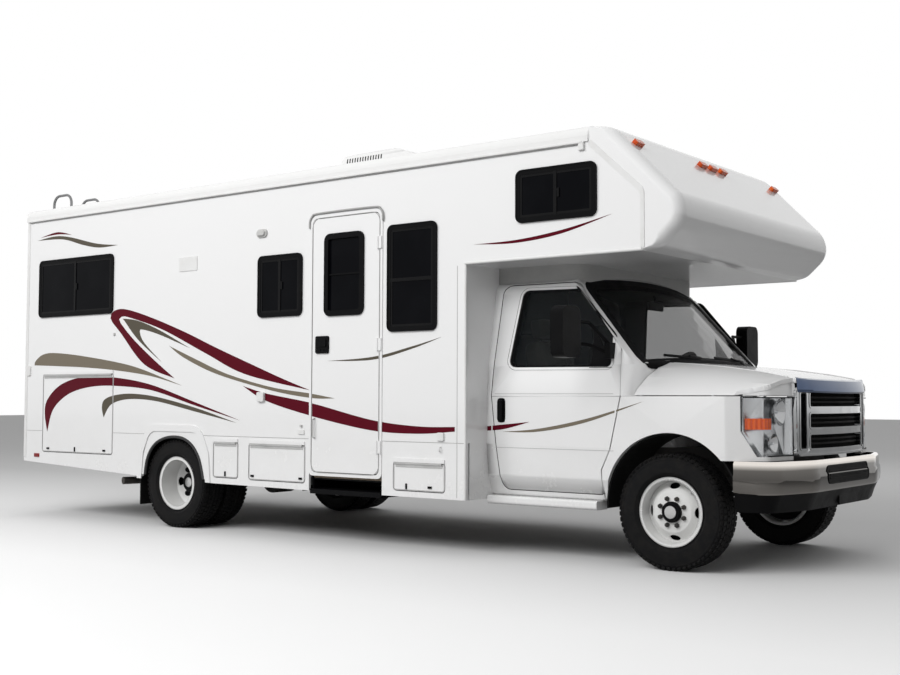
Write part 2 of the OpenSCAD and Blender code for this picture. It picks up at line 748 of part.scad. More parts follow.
// Solid through a row of sections, each an outer line followed by its inner line walked back
module band(sections) {
  n = len(sections[0]);
  m = n / 2;
  k = len(sections);
  points = [for (s = sections) each s];
  walls = [
    for (i = [0:k - 2], j = [0:n - 1])
      [i * n + j, (i + 1) * n + j, (i + 1) * n + (j + 1) % n, i * n + (j + 1) % n]
  ];
  head = [for (j = [0:m - 2]) [j, j + 1, n - 2 - j, n - 1 - j]];
  tail = [for (f = head) back([for (q = f) q + (k - 1) * n])];
  polyhedron(points, concat(walls, head, tail));
}

// Round tube along a path of points
module tube(path, r, aside) {
  k = len(path) - 1;
  rings = [
    for (i = [0:k])
      let (
        d0 = unit(path[max(i, 1)] - path[max(i, 1) - 1]),
        d1 = unit(path[min(i, k - 1) + 1] - path[min(i, k - 1)]),
        d = unit(d0 + d1),
        u = unit(cross(aside, d)),
        v = cross(d, u)
      )
      [for (j = [0:tube_n - 1])
        path[i] + r * (u * cos(360 * j / tube_n) + v * sin(360 * j / tube_n))]
  ];
  points = [for (s = rings) each s];
  walls = [
    for (i = [0:k - 1], j = [0:tube_n - 1])
      [i * tube_n + j, (i + 1) * tube_n + j,
        (i + 1) * tube_n + (j + 1) % tube_n, i * tube_n + (j + 1) % tube_n]
  ];
  head = [[for (j = [0:tube_n - 1]) j]];
  tail = [[for (j = [tube_n - 1:-1:0]) k * tube_n + j]];
  polyhedron(points, concat(walls, head, tail));
}

module chassis_frame() {
  x0 = rear_x + rail_rear;
  l = rail_front - x0;
  c0 = rear_x + wall_t + outrigger_end;
  c = -coach_front - outrigger_end - c0;
  web = rail_out - rail_t;
  channel = [
    [rail_in, rail_bottom], [rail_out, rail_bottom], [rail_out, rail_top], [rail_in, rail_top],
    [rail_in, rail_top - rail_t], [web, rail_top - rail_t], [web, rail_bottom + rail_t],
    [rail_in, rail_bottom + rail_t]
  ];
  color(black) car() {
    both()
      plate_x(channel, x0, rail_front);
    for (s = cross_shares) {
      x = rail_front - s * (l - cross_w);
      block(x - cross_w, x, -web - lap, web + lap, rail_top - rail_t - cross_h, rail_top - rail_t);
    }
    for (s = outrigger_shares) {
      x = c0 + s * c;
      block(x - cross_w / 2, x + cross_w / 2, -outrigger_y, outrigger_y, rail_top - lap, floor_z);
    }
  }
}

module front_axle() {
  ky = front_track / 2 - kingpin_offset;
  z0 = hub_z - boss_h / 2;
  z1 = hub_z + boss_h / 3;
  beam = [
    [-beam_w, z0], [beam_w, z0], [beam_w, z0 + beam_t], [beam_t, z0 + beam_t], [beam_t, z1 - beam_t],
    [beam_w, z1 - beam_t], [beam_w, z1], [-beam_w, z1], [-beam_w, z1 - beam_t], [-beam_t, z1 - beam_t],
    [-beam_t, z0 + beam_t], [-beam_w, z0 + beam_t]
  ];
  color(steel) car() {
    plate_y(beam, -ky, ky);
    both() {
      translate([0, ky, hub_z - boss_h / 2])
        cylinder(r = boss_r, h = boss_h, $fn = 48);
      translate([0, ky, hub_z - pin_h / 2])
        cylinder(r = kingpin_r, h = pin_h, $fn = 48);
      translate([0, (rail_in + rail_out) / 2, z1 - lap])
        cylinder(r = coil_r, h = rail_bottom - z1 + lap, $fn = 48);
    }
  }
}

// Leaf spring over the axle, with its hangers up to the rail
module leaf_spring() {
  z = hub_z + axle_r - lap;
  a = asin(leaf_l / leaf_bow);
  low = [for (i = [-8:8]) [leaf_bow * sin(a * i / 8), z + leaf_bow - leaf_bow * cos(a * i / 8)]];
  high = [
    for (i = [8:-1:-8])
      [(leaf_bow - leaf_h) * sin(a * i / 8), z + leaf_bow - (leaf_bow - leaf_h) * cos(a * i / 8)]
  ];
  end_z = low[0][1] + lap;
  translate([rear_axle_x, 0, 0]) {
    plate_y(concat(low, high), rail_in, rail_out);
    for (s = [-1, 1])
      block(s * (leaf_l - cross_w) - cross_w / 2, s * (leaf_l - cross_w) + cross_w / 2,
        rail_in, rail_out, end_z, rail_bottom);
  }
}

module rear_axle() {
  color(steel) car() {
    translate([rear_axle_x, 0, hub_z]) {
      rotate([90, 0, 0]) {
        cylinder(r = axle_r, h = rear_track + 2 * axle_end, center = true, $fn = 64);
        cylinder(r = diff_r, h = diff_w, center = true, $fn = 64);
      }
      rotate([0, 90, 0])
        cylinder(r = snout_r, h = snout_l, $fn = 48);
    }
    both()
      leaf_spring();
  }
}

module powertrain() {
  x1 = radiator_x - bay_gap;
  sx = rear_axle_x + snout_l;
  drop = shaft_z - hub_z;
  run_x = -gearbox_l - sx;
  color(grey) car() {
    block(bay_gap - screen_x, engine_l, -engine_w, engine_w, engine_z, engine_z + engine_h);
    block(mount_x, mount_x + cross_w, -rail_out, rail_out, rail_top, rail_top + mount_t);
    block(-gearbox_l, bay_gap - screen_x + lap, -gearbox_w, gearbox_w, shaft_z - gearbox_h / 2,
      shaft_z + gearbox_h / 2);
    translate([sx, 0, hub_z])
      multmatrix([[1, 0, 0, 0], [0, 1, 0, 0], [drop / run_x, 0, 1, 0], [0, 0, 0, 1]])
        rotate([0, 90, 0])
          cylinder(r = shaft_r, h = run_x + lap, $fn = 12);
    block(radiator_x, radiator_x + radiator_t, -rail_in, rail_in, radiator_z, radiator_z + radiator_h);
  }
}

module exhaust() {
  tip_x = rear_axle_x - tail_x;
  y = -pipe_y;
  path = [
    [-pipe_front, y, pipe_z], [tip_x + pipe_turn, y, pipe_z],
    [tip_x + pipe_turn / 2, y - pipe_turn / 4, pipe_z - pipe_drop / 2],
    [tip_x, y - pipe_turn, pipe_z - pipe_drop], [tip_x - pipe_turn / 3, -tail_y, pipe_z - pipe_drop]
  ];
  color(steel) car() {
    tube(path, pipe_r, [0, 0, 1]);
    translate([-muffler_x - muffler_l, y, pipe_z])
      rotate([0, 90, 0])
        cylinder(r = muffler_r, h = muffler_l, $fn = 48);
    for (x = [-muffler_x - muffler_l / 2, rear_axle_x + wheelbase * hanger_share])
      block(x - hanger_w, x + hanger_w, y - hanger_w, y + hanger_w, pipe_z, floor_z);
  }
}

module fuel_tank() {
  x = rear_x + tank_x;
  color(black) car()
    plate_x(rounded(box_rows(-rail_in, tank_z, 2 * rail_in, tank_h, tank_r)), x, x + tank_l);
}

// Hatch row grown by the gap round its leaf
function shut_hole(h) = [h[0] - shut_gap, h[1] - shut_gap, h[2] + 2 * shut_gap, h[3] + 2 * shut_gap];

// Space of a storage box behind a hatch, grown by g
module box_space(h, depth, y, g) {
  block(h[0] - g, h[0] + h[2] + g, -y, -y + depth + g, h[1] - g, h[1] + h[3] + g);
}

module coach_floor() {
  well_z = entry_z - entry_edge;
  color(grey) car() {
    difference() {
      union() {
        block(rear_x + wall_t, -coach_front - wall_t, -in_y, in_y, floor_z, floor_top);
        block(entry_rear - well_t, entry_front + well_t, -in_y, well_depth - in_y, well_z - well_t,
          floor_top);
      }
      block(entry_rear, entry_front, -in_y - past, well_depth - in_y - well_t, well_z, floor_top + past);
      both()
        box_space(shut_hole(hatch_a), box_a_depth - box_t + lap, in_y + lap, box_t + seat);
    }
  }
}

function wall_outline() = [
  [rear_x, seam_z], [-coach_front, seam_z], [-coach_front, cabover_z], [-nose_seam, cabover_z],
  [-nose_seam, nose_seam_z], [-nose_top, rail_z], [rear_x, rail_z]
];

function arch_rows() =
  let (
    r = tyre_d / 2,
    p = [for (s = rear_arch_shares) [s[0] * r, s[1] * tyre_d, s[2] * r]],
    q = [for (s = back(p)) [-s[0], s[1], s[2]]]
  )
  [for (s = concat(p, q)) [rear_axle_x + s[0], s[1], s[2]]];

function hatch_hole(h) = rounded(box_rows(h[0], h[1], h[2], h[3], hatch_r), -shut_gap);

module window_hole(w) {
  plate_y(rounded(box_rows(w[0], w[1], w[2], w[3], window_r), frame_sleeve), -wall_y - past, -in_y + past);
}

// Fixed strip that carries a hatch's hinge barrel
module hinge_strip(h) {
  z = h[1] + h[3] + seat;
  block(h[0], h[0] + h[2], -wall_y - barrel_r, -wall_y, z, z + strip_h);
}

// Right-hand wall with its holes
module coach_wall(windows, hatches) {
  difference() {
    plate_y(wall_outline(), -wall_y, -in_y);
    for (w = windows)
      window_hole(w);
    for (h = hatches)
      plate_y(hatch_hole(h), -wall_y - past, -in_y + past);
    plate_y(rounded(arch_rows()), -wall_y - past, -in_y + past);
  }
  for (h = hatches)
    hinge_strip(h);
}

function entry_rows(g) = [
  [entry_rear - g, entry_z - g, entry_r], [entry_front + g, entry_z - g, entry_r],
  [entry_front + g, entry_top + g, entry_r + g], [entry_rear - g, entry_top + g, entry_r + g]
];

module coach_wall_right() {
  color(white) car()
    difference() {
      coach_wall(right_windows, [hatch_a]);
      plate_y(rounded(entry_rows(entry_edge + seat)), -wall_y - past, -in_y + past);
    }
}

module coach_wall_left() {
  color(white) car()
    mirror([0, 1, 0])
      coach_wall(left_windows, left_hatches);
}

module coach_rear_wall() {
  color(white) car()
    block(rear_x, rear_x + wall_t, -in_y, in_y, max(skirt_rear_z, rear_bumper_z + lap + seat), rail_z);
}

module coach_roof() {
  y = wall_y + roof_lip;
  half = [[y, rail_z, 0], [y, rail_z + roof_side, roof_round], [y * roof_flat_share, roof_top, past]];
  rows = concat(half, [for (p = back(half)) [-p[0], p[1], p[2]]]);
  color(white) car()
    plate_x(rounded(rows), rear_x - roof_lip, -nose_top);
}

// Cab cross-section moved inwards by t
function cab_section(t = 0) =
  let (
    p = [for (s = cab_section_shares) [s[0] * half_cab, cab_z + s[1] * cab_h, s[2] * half_cab]],
    q = [for (s = back(p)) [-s[0], s[1], s[2]]]
  )
  rounded(concat(p, q), t);

module coach_front_panels() {
  color(white) car()
    difference() {
      block(-coach_front - wall_t, -coach_front, -in_y, in_y, skirt_z, cabover_z);
      plate_x(cab_section(cab_t / 2), -coach_front - past * 2, -coach_front + past);
      block(-coach_front - past * 2, -coach_front + past, -half_cab * panel_cut_share,
        half_cab * panel_cut_share, skirt_z - past, cabover_z + past);
    }
}

module cabover_floor() {
  color(white) car()
    block(-coach_front - wall_t, -nose_seam, -in_y, in_y, cabover_z, cabover_z + cabover_t);
}

// Profile of the nose from the roof forward and down to its underside: t inwards, plus e that fades out below
function nose_profile(t, e) =
  let (
    x0 = -nose_top,
    l = nose_top + nose_tip,
    h = roof_nose_z - cabover_z,
    mid = [for (s = nose_shares) [x0 + s[0] * l, cabover_z + s[1] * h, s[2] * l]],
    rows = [for (q = concat([[x0, roof_nose_z, 0]], mid, [[-nose_seam, cabover_z, 0]])) [-q[0], q[1], q[2]]],
    p = run(rows, t),
    q = run(rows, t + e),
    k = len(p) - 1
  )
  [for (i = [0:k])
    let (
      w = min(1, nose_fade_share + (k - i) / (arc_n + 2), nose_fade_share + i / (arc_n + 1)),
      c = p[i] + (q[i] - p[i]) * w
    )
    [i == 0 ? x0 : i == k ? -nose_seam : -c[0], c[1]]];

// Grid of the nose: one profile for each station across the car
function nose_rows(w, t) =
  let (
    d = [for (s = nose_edge_shares) s * nose_round],
    e = [for (s = d) nose_round - sqrt(nose_round * nose_round - pow(nose_round - s, 2))],
    y = concat([for (s = d) s - w], [for (s = back(d)) w - s]),
    k = concat(e, back(e))
  )
  [for (i = [0:len(y) - 1]) [for (p = nose_profile(t, k[i])) [p[0], y[i], p[1]]]];

module cabover_cap() {
  edge0 = nose_edge_shares[0] * nose_round;
  outer = nose_rows(wall_y + edge0, 0);
  inner = nose_rows(wall_y + edge0 - nose_t, nose_t);
  k = len(outer);
  n = len(outer[0]);
  g = k * n;
  seam = [[-nose_seam, nose_seam_z], [-nose_top, rail_z]];
  ends = [
    for (y = [-wall_y, wall_y, nose_t - wall_y, wall_y - nose_t], s = seam)
      [s[0], y, s[1]]
  ];
  points = concat([for (r = outer) each r], [for (r = inner) each r], ends);
  e = 2 * g;
  skin = [
    for (i = [0:k - 2], j = [0:n - 2])
      [i * n + j, i * n + j + 1, (i + 1) * n + j + 1, (i + 1) * n + j]
  ];
  lining = [for (f = skin) back([for (q = f) q + g])];
  top_rim = [for (i = [0:k - 2]) [i * n, (i + 1) * n, g + (i + 1) * n, g + i * n]];
  low_rim = [
    for (i = [0:k - 2])
      [i * n + n - 1, g + i * n + n - 1, g + (i + 1) * n + n - 1, (i + 1) * n + n - 1]
  ];
  m = (k - 1) * n;
  end_right = [for (j = [n - 1:-1:0]) j, e + 1, e];
  end_left = [e + 3, for (j = [0:n - 1]) m + j, e + 2];
  in_right = [e + 5, for (j = [0:n - 1]) g + j, e + 4];
  in_left = [for (j = [n - 1:-1:0]) g + m + j, e + 7, e + 6];
  rim_right = [[e, e + 4, g + n - 1, n - 1], [e + 1, e + 5, e + 4, e], [0, g, e + 5, e + 1]];
  rim_left = [
    [m + n - 1, g + m + n - 1, e + 6, e + 2], [e + 2, e + 6, e + 7, e + 3], [e + 3, e + 7, g + m, m]
  ];
  faces = concat(skin, lining, top_rim, low_rim, [end_right, end_left, in_right, in_left], rim_right, rim_left);
  color(white) car()
    polyhedron(points, [for (f = faces) back(f)]);
}

module skirt_holes(hatches) {
  plate_y(rounded(arch_rows()), -wall_y - past, -wall_y + past);
  for (h = hatches)
    plate_y(hatch_hole(h), -wall_y - past, -wall_y + past);
}

module arch_moulding() {
  difference() {
    plate_y(rounded(arch_rows(), -arch_trim), -wall_y - arch_lip, -wall_y);
    plate_y(rounded(arch_rows()), -wall_y - past, -wall_y + past);
    block(rear_axle_x - tyre_d, rear_axle_x + tyre_d, -wall_y - past, -wall_y + past, 0, skirt_z + arch_lip);
  }
}

module skirt_right() {
  difference() {
    union() {
      plate_y([
        [rear_x, skirt_rear_z], [rear_axle_x, skirt_z + arch_lip], [entry_hole_rear - seat, skirt_z],
        [entry_hole_rear - seat, seam_z], [rear_x, seam_z]
      ], -wall_y, skirt_t - wall_y);
      plate_y([
        [entry_hole_front + seat, skirt_z], [-coach_front, skirt_z], [-coach_front, seam_z],
        [entry_hole_front + seat, seam_z]
      ], -wall_y, skirt_t - wall_y);
    }
    skirt_holes(right_hatches);
  }
}

module coach_skirts() {
  color(white) car() {
    skirt_right();
    arch_moulding();
    for (h = [hatch_b, hatch_c, hatch_d])
      hinge_strip(h);
    mirror([0, 1, 0]) {
      difference() {
        plate_y([
          [rear_x, skirt_rear_z], [rear_axle_x, skirt_z + arch_lip], [-coach_front, skirt_z],
          [-coach_front, seam_z], [rear_x, seam_z]
        ], -wall_y, skirt_t - wall_y);
        skirt_holes(left_hatches);
      }
      arch_moulding();
    }
  }
}

module wheel_wells() {
  a = [for (i = [0:liner_n]) liner_start + (180 + liner_end - liner_start) * i / liner_n];
  ring = concat(
    [for (s = a) (arch_r - seat) * [cos(s), sin(s)]],
    [for (s = back(a)) (arch_r - liner_t) * [cos(s), sin(s)]]
  );
  far = tyre_d * flap_share;
  color(black) car() {
    both() {
      translate([0, 0, arch_z])
        plate_y(ring, fender_t - half_cab + seat, -liner_y);
      block(rear_axle_x - far - liner_t, rear_axle_x - far, skirt_t - wall_y + seat, -flap_y, flap_z, seam_z - seat);
      block(rear_axle_x + far, rear_axle_x + far + liner_t, skirt_t - wall_y + seat, -flap_y, skirt_z, seam_z - seat);
    }
  }
}

module storage_box(h, depth, y) {
  difference() {
    box_space(h, depth, y, box_t);
    block(h[0], h[0] + h[2], -y - past, -y + depth, h[1], h[1] + h[3]);
    block(h[0] - past, h[0] + h[2] + past, -y - past, -y, h[1] - past, h[1] + h[3] + past);
  }
}

module storage_boxes() {
  color(grey) car() {
    both()
      storage_box(shut_hole(hatch_a), box_a_depth - box_t, in_y);
    for (h = [hatch_b, hatch_c, hatch_d])
      storage_box(shut_hole(h), box_depth, wall_y - skirt_t);
  }
}

module window_frame(w) {
  rows = box_rows(w[0], w[1], w[2], w[3], window_r);
  difference() {
    union() {
      plate_y(rounded(rows), -wall_y - frame_lip, -wall_y);
      plate_y(rounded(rows, frame_sleeve + seat), -wall_y - frame_lip, -in_y);
    }
    plate_y(rounded(rows, frame_w), -wall_y - past, -in_y + past);
  }
}

module window_pane(w) {
  plate_y(rounded(box_rows(w[0], w[1], w[2], w[3], window_r), frame_w + seat), -wall_y - glass_t, -wall_y);
}

module window_frames() {
  color(black) car() {
    for (w = right_windows)
      window_frame(w);
    mirror([0, 1, 0])
      for (w = left_windows)
        window_frame(w);
  }
}

module window_glass() {
  color(dark_glass) car() {
    for (w = right_windows)
      window_pane(w);
    mirror([0, 1, 0])
      for (w = left_windows)
        window_pane(w);
  }
}

module entry_door_frame() {
  color(clear) car() {
    difference() {
      plate_y(rounded(entry_rows(entry_edge)), -entry_face, -in_y);
      plate_y(rounded(entry_rows(shut_gap)), -entry_face - past, -in_y + past);
    }
    for (s = hinge_shares)
      translate([entry_front + seat, -entry_face - barrel_r, entry_z + s * entry_h])
        cube([entry_frame_w, barrel_r + lap, barrel_h]);
  }
}

module entry_step() {
  x0 = entry_hole_rear;
  x1 = entry_hole_front;
  z1 = entry_z - entry_edge - well_t;
  z0 = z1 - step_h;
  color(black) car()
    difference() {
      union() {
        block(x0, x1, -in_y, step_depth - in_y, z0, z1);
        block(x0 + step_t, x1 - step_t, -wall_y, -in_y + lap, z0, z0 + step_t * 3);
      }
      block(x0 + step_t, x1 - step_t, -wall_y - past, step_depth - in_y - step_t, z0 + step_t * 3, z1 - step_t);
    }
}

module roof_units() {
  x = -air_x;
  side_rows = [
    [x, roof_top, 0], [x + air_l, roof_top, 0], [x + air_l, roof_top + air_h * 0.55, air_h / 5],
    [x + air_l * 0.62, roof_top + air_h, air_h], [x, roof_top + air_h * 0.96, air_h / 4]
  ];
  end_rows = [
    [-air_w / 2, roof_top - past, 0], [air_w / 2, roof_top - past, 0],
    [air_w * 0.46, roof_top + air_h + lap, air_h / 4], [-air_w * 0.46, roof_top + air_h + lap, air_h / 4]
  ];
  color(white) car() {
    intersection() {
      plate_y(rounded(side_rows), -air_w, air_w);
      plate_x(rounded(end_rows), x - past, x + air_l + past);
    }
    for (s = vent_shares) {
      vx = rear_x + s * (rear_overhang + wheelbase - coach_front);
      translate([vx, 0, roof_top])
        plate_z(rounded(box_rows(-vent_w / 2, -vent_w / 2, vent_w, vent_w, vent_w / 8)), 0, vent_h);
    }
  }
}

// Height of the roof at y across the car
function roof_z(y) =
  let (y1 = wall_y + roof_lip, y0 = y1 * roof_flat_share)
  roof_top - max(0, abs(y) - y0) / (y1 - y0) * (roof_rise - roof_side);

module rear_ladder() {
  xo = rear_x - rear_standoff + ladder_r;
  xi = rear_x + ladder_in;
  z1 = ladder_top - ladder_r;
  b = ladder_bend;
  bend0 = [for (i = [0:6]) [xo + b - b * cos(15 * i), z1 - b + b * sin(15 * i)]];
  bend1 = [for (i = [0:6]) [xi - b + b * sin(15 * i), z1 - b + b * cos(15 * i)]];
  line = concat([[xo, ladder_z]], bend0, bend1);
  color(chrome) car() {
    for (y = [-ladder_y, ladder_w - ladder_y]) {
      tube([for (p = concat(line, [[xi, roof_z(y) + ladder_dip]])) [p[0], y, p[1]]], ladder_r, [0, 1, 0]);
      for (z = [ladder_z + ladder_foot, rail_z - ladder_foot])
        translate([xo, y, z])
          rotate([0, 90, 0])
            cylinder(r = ladder_r * 0.8, h = rear_standoff - ladder_r, $fn = 10);
    }
    for (s = rung_shares)
      translate([xo, -ladder_y, ladder_z + s * (rail_z - ladder_z)])
        rotate([-90, 0, 0])
          cylinder(r = ladder_r * 0.85, h = ladder_w, $fn = 10);
  }
}

module rear_bumper() {
  z = rear_bumper_z;
  o = socket_w / 2 + socket_t;
  zc = z - o + lap;
  color(black) car()
    difference() {
      union() {
        block(rear_x - rear_bumper_w, rear_x, -rear_bumper_y, rear_bumper_y, z, z + rear_bumper_w);
        block(rear_x - socket_out, rear_x + socket_in, -o, o, zc - o, zc + o);
      }
      block(rear_x - socket_out - past, rear_x + socket_in - past, -socket_w / 2, socket_w / 2,
        zc - socket_w / 2, zc + socket_w / 2);
      translate([rear_x - socket_out + socket_pin_x, 0, zc])
        rotate([90, 0, 0])
          cylinder(r = socket_pin_r, h = 2 * o + past, center = true, $fn = 48);
    }
}

module marker_lamps() {
  q = nose_profile(0, 0)[arc_n + 1];
  r = nose_profile(0, 0)[arc_n + 2];
  lean = atan2(r[1] - q[1], r[0] - q[0]);
  m = q + (r - q) * lamp_row_share;
  color(amber) car()
    for (s = lamp_row_shares)
      translate([m[0], s * wall_y, m[1]])
        rotate([0, -lean, 0])
          plate_z(rounded(box_rows(-lamp_w / 2, -lamp_l / 2, lamp_w, lamp_l, lamp_w / 3)), seat, lamp_h);
}

module tail_lamps() {
  color(red) car() {
    both()
      plate_x(rounded(box_rows(tail_lamp_y, tail_lamp_z, tail_lamp_w, tail_lamp_h, tail_lamp_w / 4)),
        rear_x - lamp_h, rear_x);
    for (s = lamp_row_shares)
      plate_x(rounded(box_rows(s * wall_y - lamp_l / 2, rail_z - lamp_l, lamp_l, lamp_w, lamp_w / 3)),
        rear_x - lamp_h, rear_x);
  }
}

// Turns its children into the windscreen's frame: X out of the glass, Z up its slope
module screen_frame() {
  translate([-screen_x, 0, screen_z])
    rotate([0, -screen_lean, 0])
      children();
}

// Everything behind the windscreen's bowed face moved inwards by t
module screen_bulge(t) {
  screen_frame()
    translate([-screen_bow, 0, -cab_h])
      cylinder(r = screen_bow - t, h = cab_h * 3, $fn = 180);
}

// Everything behind the bowed firewall moved back by t
module behind_firewall(t) {
  translate([-screen_x - t - screen_bow, 0, 0])
    cylinder(r = screen_bow, h = cab_top + cab_h, $fn = 180);
}

module screen_prism(t) {
  rows = [
    [-screen_w0, screen_sill, screen_r], [screen_w0, screen_sill, screen_r],
    [screen_w1, screen_l, screen_r], [-screen_w1, screen_l, screen_r]
  ];
  screen_frame()
    plate_x(rounded(rows, t), -past * 5, past);
}

function door_point(s) = [door_front_x - s[0] * door_l, cab_door_z + s[1] * cab_door_h, s[2] * door_l];
function door_rows(shares) = [for (s = shares) door_point(s)];

module door_prism(t) {
  plate_y(rounded(door_rows(cab_door_shares), t), -half_cab - past, -half_cab * door_in_share);
}

module pane_prism(t) {
  plate_y(rounded(door_rows(cab_pane_shares), t), -half_cab - past, -half_cab * door_in_share);
}

// Side outline of a front fender, grown by g at the door and the bonnet
module fender_prism(g) {
  p1 = door_point(cab_door_shares[1]);
  p2 = door_point(cab_door_shares[2]);
  p3 = door_point(cab_door_shares[3]);
  x1 = clip_front + past * 2;
  top = belt_z - shut_gap / 2 + g;
  q = shut_gap / 2 - g;
  plate_y([
    [p1[0] + q, cab_z - g], [x1, cab_z - g], [x1, top], [p3[0] + q, top], [p2[0] + q, p2[1]], [p1[0] + q, p1[1]]
  ], -half_cab - past, half_cab + past);
}

module arch_cut(r, y) {
  translate([0, -y, arch_z])
    rotate([90, 0, 0])
      cylinder(r = r, h = half_cab, $fn = 96);
}

// Buffers on the sill that a shut cab door rests against
module door_buffers() {
  z = (cab_z + rail_top) / 2;
  intersection() {
    plate_x(cab_section(cab_door_t + seat), -coach_front, 0);
    for (s = buffer_shares)
      block(door_front_x - s * door_l - buffer_w, door_front_x - s * door_l, -half_cab, -sill_y, z, z + buffer_w);
  }
}

module cab_shell() {
  f = rail_top + cab_floor_t;
  color(white) car()
    difference() {
      intersection() {
        plate_x(cab_section(), -coach_front, 0);
        plate_y([
          [-coach_front, cab_z], [-cab_toe, cab_z], [-cab_toe, rail_top], [0, rail_top],
          [0, cab_top + past], [-coach_front, cab_top + past]
        ], -half_cab - past, half_cab + past);
        screen_bulge(0);
        behind_firewall(0);
      }
      intersection() {
        plate_x(cab_section(cab_t), -coach_front - past, 0);
        block(-coach_front - past, 0, -half_cab, half_cab, f, cab_top + past);
        screen_bulge(cab_t);
        behind_firewall(cab_t);
      }
      block(-coach_front - past, past, -sill_y, sill_y, cab_z - past, rail_top);
      both() {
        difference() {
          door_prism(0);
          plate_x(cab_section(cab_door_t + shut_gap), -coach_front - past, 0);
          door_buffers();
        }
        arch_cut(arch_r + seat, liner_y - seat);
        intersection() {
          fender_prism(seat);
          block(-cab_toe, past, -half_cab - past, fender_t + 2 * seat - half_cab, cab_z, belt_z);
        }
      }
      screen_prism(0);
    }
}

// Plan outline of the front end moved inwards by t
function clip_plan(t) =
  let (
    x0 = -cab_door_toe - past * 2,
    p = [for (s = clip_shares) [s[0] * clip_front, -s[1] * half_cab, s[2] * clip_front]],
    q = [for (i = [len(p) - 2:-1:0]) [p[i][0], -p[i][1], p[i][2]]],
    y = clip_shares[0][1] * half_cab
  )
  rounded(concat([[x0, -y, 0]], p, q, [[x0, y, 0]]), t);

module lamp_prism(g) {
  x1 = clip_front + past * 2;
  plate_y([
    [lamp_x + lamp_slant - g, lamp_z - g], [x1, lamp_z - g], [x1, belt_z], [lamp_x - g, belt_z],
    [lamp_x - g, lamp_z + lamp_cut - g]
  ], -half_cab - past, half_cab + past);
}

module front_fenders() {
  color(white) car() {
    for (s = stop_shares)
      both()
        translate([s * clip_front, fender_t / 2 - half_cab, belt_z - shut_gap])
          cylinder(r = stop_r, h = shut_gap * 1.5 - seat, $fn = 24);
    difference() {
      intersection() {
        plate_z(clip_plan(0), cab_z, belt_z);
        plate_x(cab_section(), -cab_door_toe - past, clip_front + past);
        fender_prism(0);
      }
      intersection() {
        plate_z(clip_plan(fender_t), cab_z - past, belt_z + past);
        plate_x(cab_section(fender_t), -cab_door_toe - past * 2, clip_front + past);
      }
      both()
        arch_cut(arch_r, 0);
      lamp_prism(seat);
      block(-cab_door_toe - past, past, -sill_y, sill_y, 0, belt_z);
      block(0, clip_front + past, -grille_w - seat, grille_w + seat, 0, belt_z + past);
      block(0, clip_front + past, -half_cab - past, half_cab + past, 0, bumper_z + bumper_h + seat);
    }
  }
}

module headlamps() {
  color(clear) car()
    intersection() {
      difference() {
        plate_z(clip_plan(seat), lamp_z, belt_z - shut_gap);
        plate_z(clip_plan(lamp_t), 0, belt_z + past);
        block(0, clip_front + past, -grille_w - seat, grille_w + seat, 0, belt_z + past);
      }
      lamp_prism(0);
    }
}

// Everything behind the grille's bowed front moved back by t, w to each side
module bow(t, w, z0, z1) {
  r = (pow(grille_w, 2) + pow(grille_bow, 2)) / (2 * grille_bow);
  intersection() {
    translate([bow_front - r - t, 0, z0])
      cylinder(r = r, h = z1 - z0, $fn = 96);
    block(0, bow_front + past, -w, w, z0 - past, z1 + past);
  }
}

module grille() {
  x0 = clip_front - grille_t * 2 / 3;
  x1 = bow_front + past;
  in_w = grille_w - grille_rim;
  mid = in_w - grille_slot - grille_rim;
  row_h = (grille_h - 4 * grille_rim) / 3;
  color(chrome) car()
    difference() {
      intersection() {
        plate_x(rounded(box_rows(-grille_w, grille_z, 2 * grille_w, grille_h, grille_rim)), x0 - past, x1);
        difference() {
          bow(0, grille_w + past, grille_z - past, grille_z + grille_h + past);
          bow(grille_t, grille_w + past * 2, grille_z - past * 2, grille_z + grille_h + past * 2);
        }
      }
      for (i = [0:2])
        plate_x(rounded(box_rows(-mid, grille_z + grille_rim + i * (row_h + grille_rim), 2 * mid, row_h,
          grille_rim / 4)), x0 - past, x1);
      both()
        plate_x(rounded(box_rows(mid + grille_rim, grille_z + grille_rim, grille_slot,
          grille_h - 2 * grille_rim, grille_rim / 4)), x0 - past, x1);
    }
}

// Plan line of the bumper moved inwards by t
function bumper_line(t) =
  let (
    p = [for (s = bumper_plan_shares) [s[0] * front_overhang, -s[1] * bumper_w, s[2] * front_overhang]],
    q = [for (s = back(p)) [s[0], -s[1], s[2]]]
  )
  run(concat([[bumper_end, -bumper_w, 0]], p, q, [[bumper_end, bumper_w, 0]]), t);

// Sweeps rows [distance behind the line, height] along the bumper's plan line
module bumper_sweep(outer, inner) {
  rows = concat(outer, back(inner));
  lines = [for (r = rows) bumper_line(r[0])];
  band([
    for (i = [len(lines[0]) - 1:-1:0])
      [for (j = [0:len(rows) - 1]) [lines[j][i][0], lines[j][i][1], rows[j][1]]]
  ]);
}

module front_bumper() {
  color(chrome) car() {
    bumper_sweep(
      [for (s = bumper_out_shares) [s[0] * bumper_t, bumper_z + s[1] * bumper_h]],
      [for (s = bumper_in_shares) [s[0] * bumper_t, bumper_z + s[1] * bumper_h]]
    );
    both()
      block(rail_front, front_overhang - bumper_t / 2, rail_in, rail_out, bumper_z + bumper_h / 2,
        bumper_z + bumper_h * 0.8);
  }
}

module bumper_valance() {
  z0 = bumper_z - valance_h;
  color(black) car()
    bumper_sweep(
      [[bumper_t * 0.45, bumper_z], [bumper_t, bumper_z - valance_h / 2], [bumper_t * 1.4, z0]],
      [[bumper_t * 0.95, bumper_z], [bumper_t * 1.5, bumper_z - valance_h / 2], [bumper_t * 1.9, z0]]
    );
}

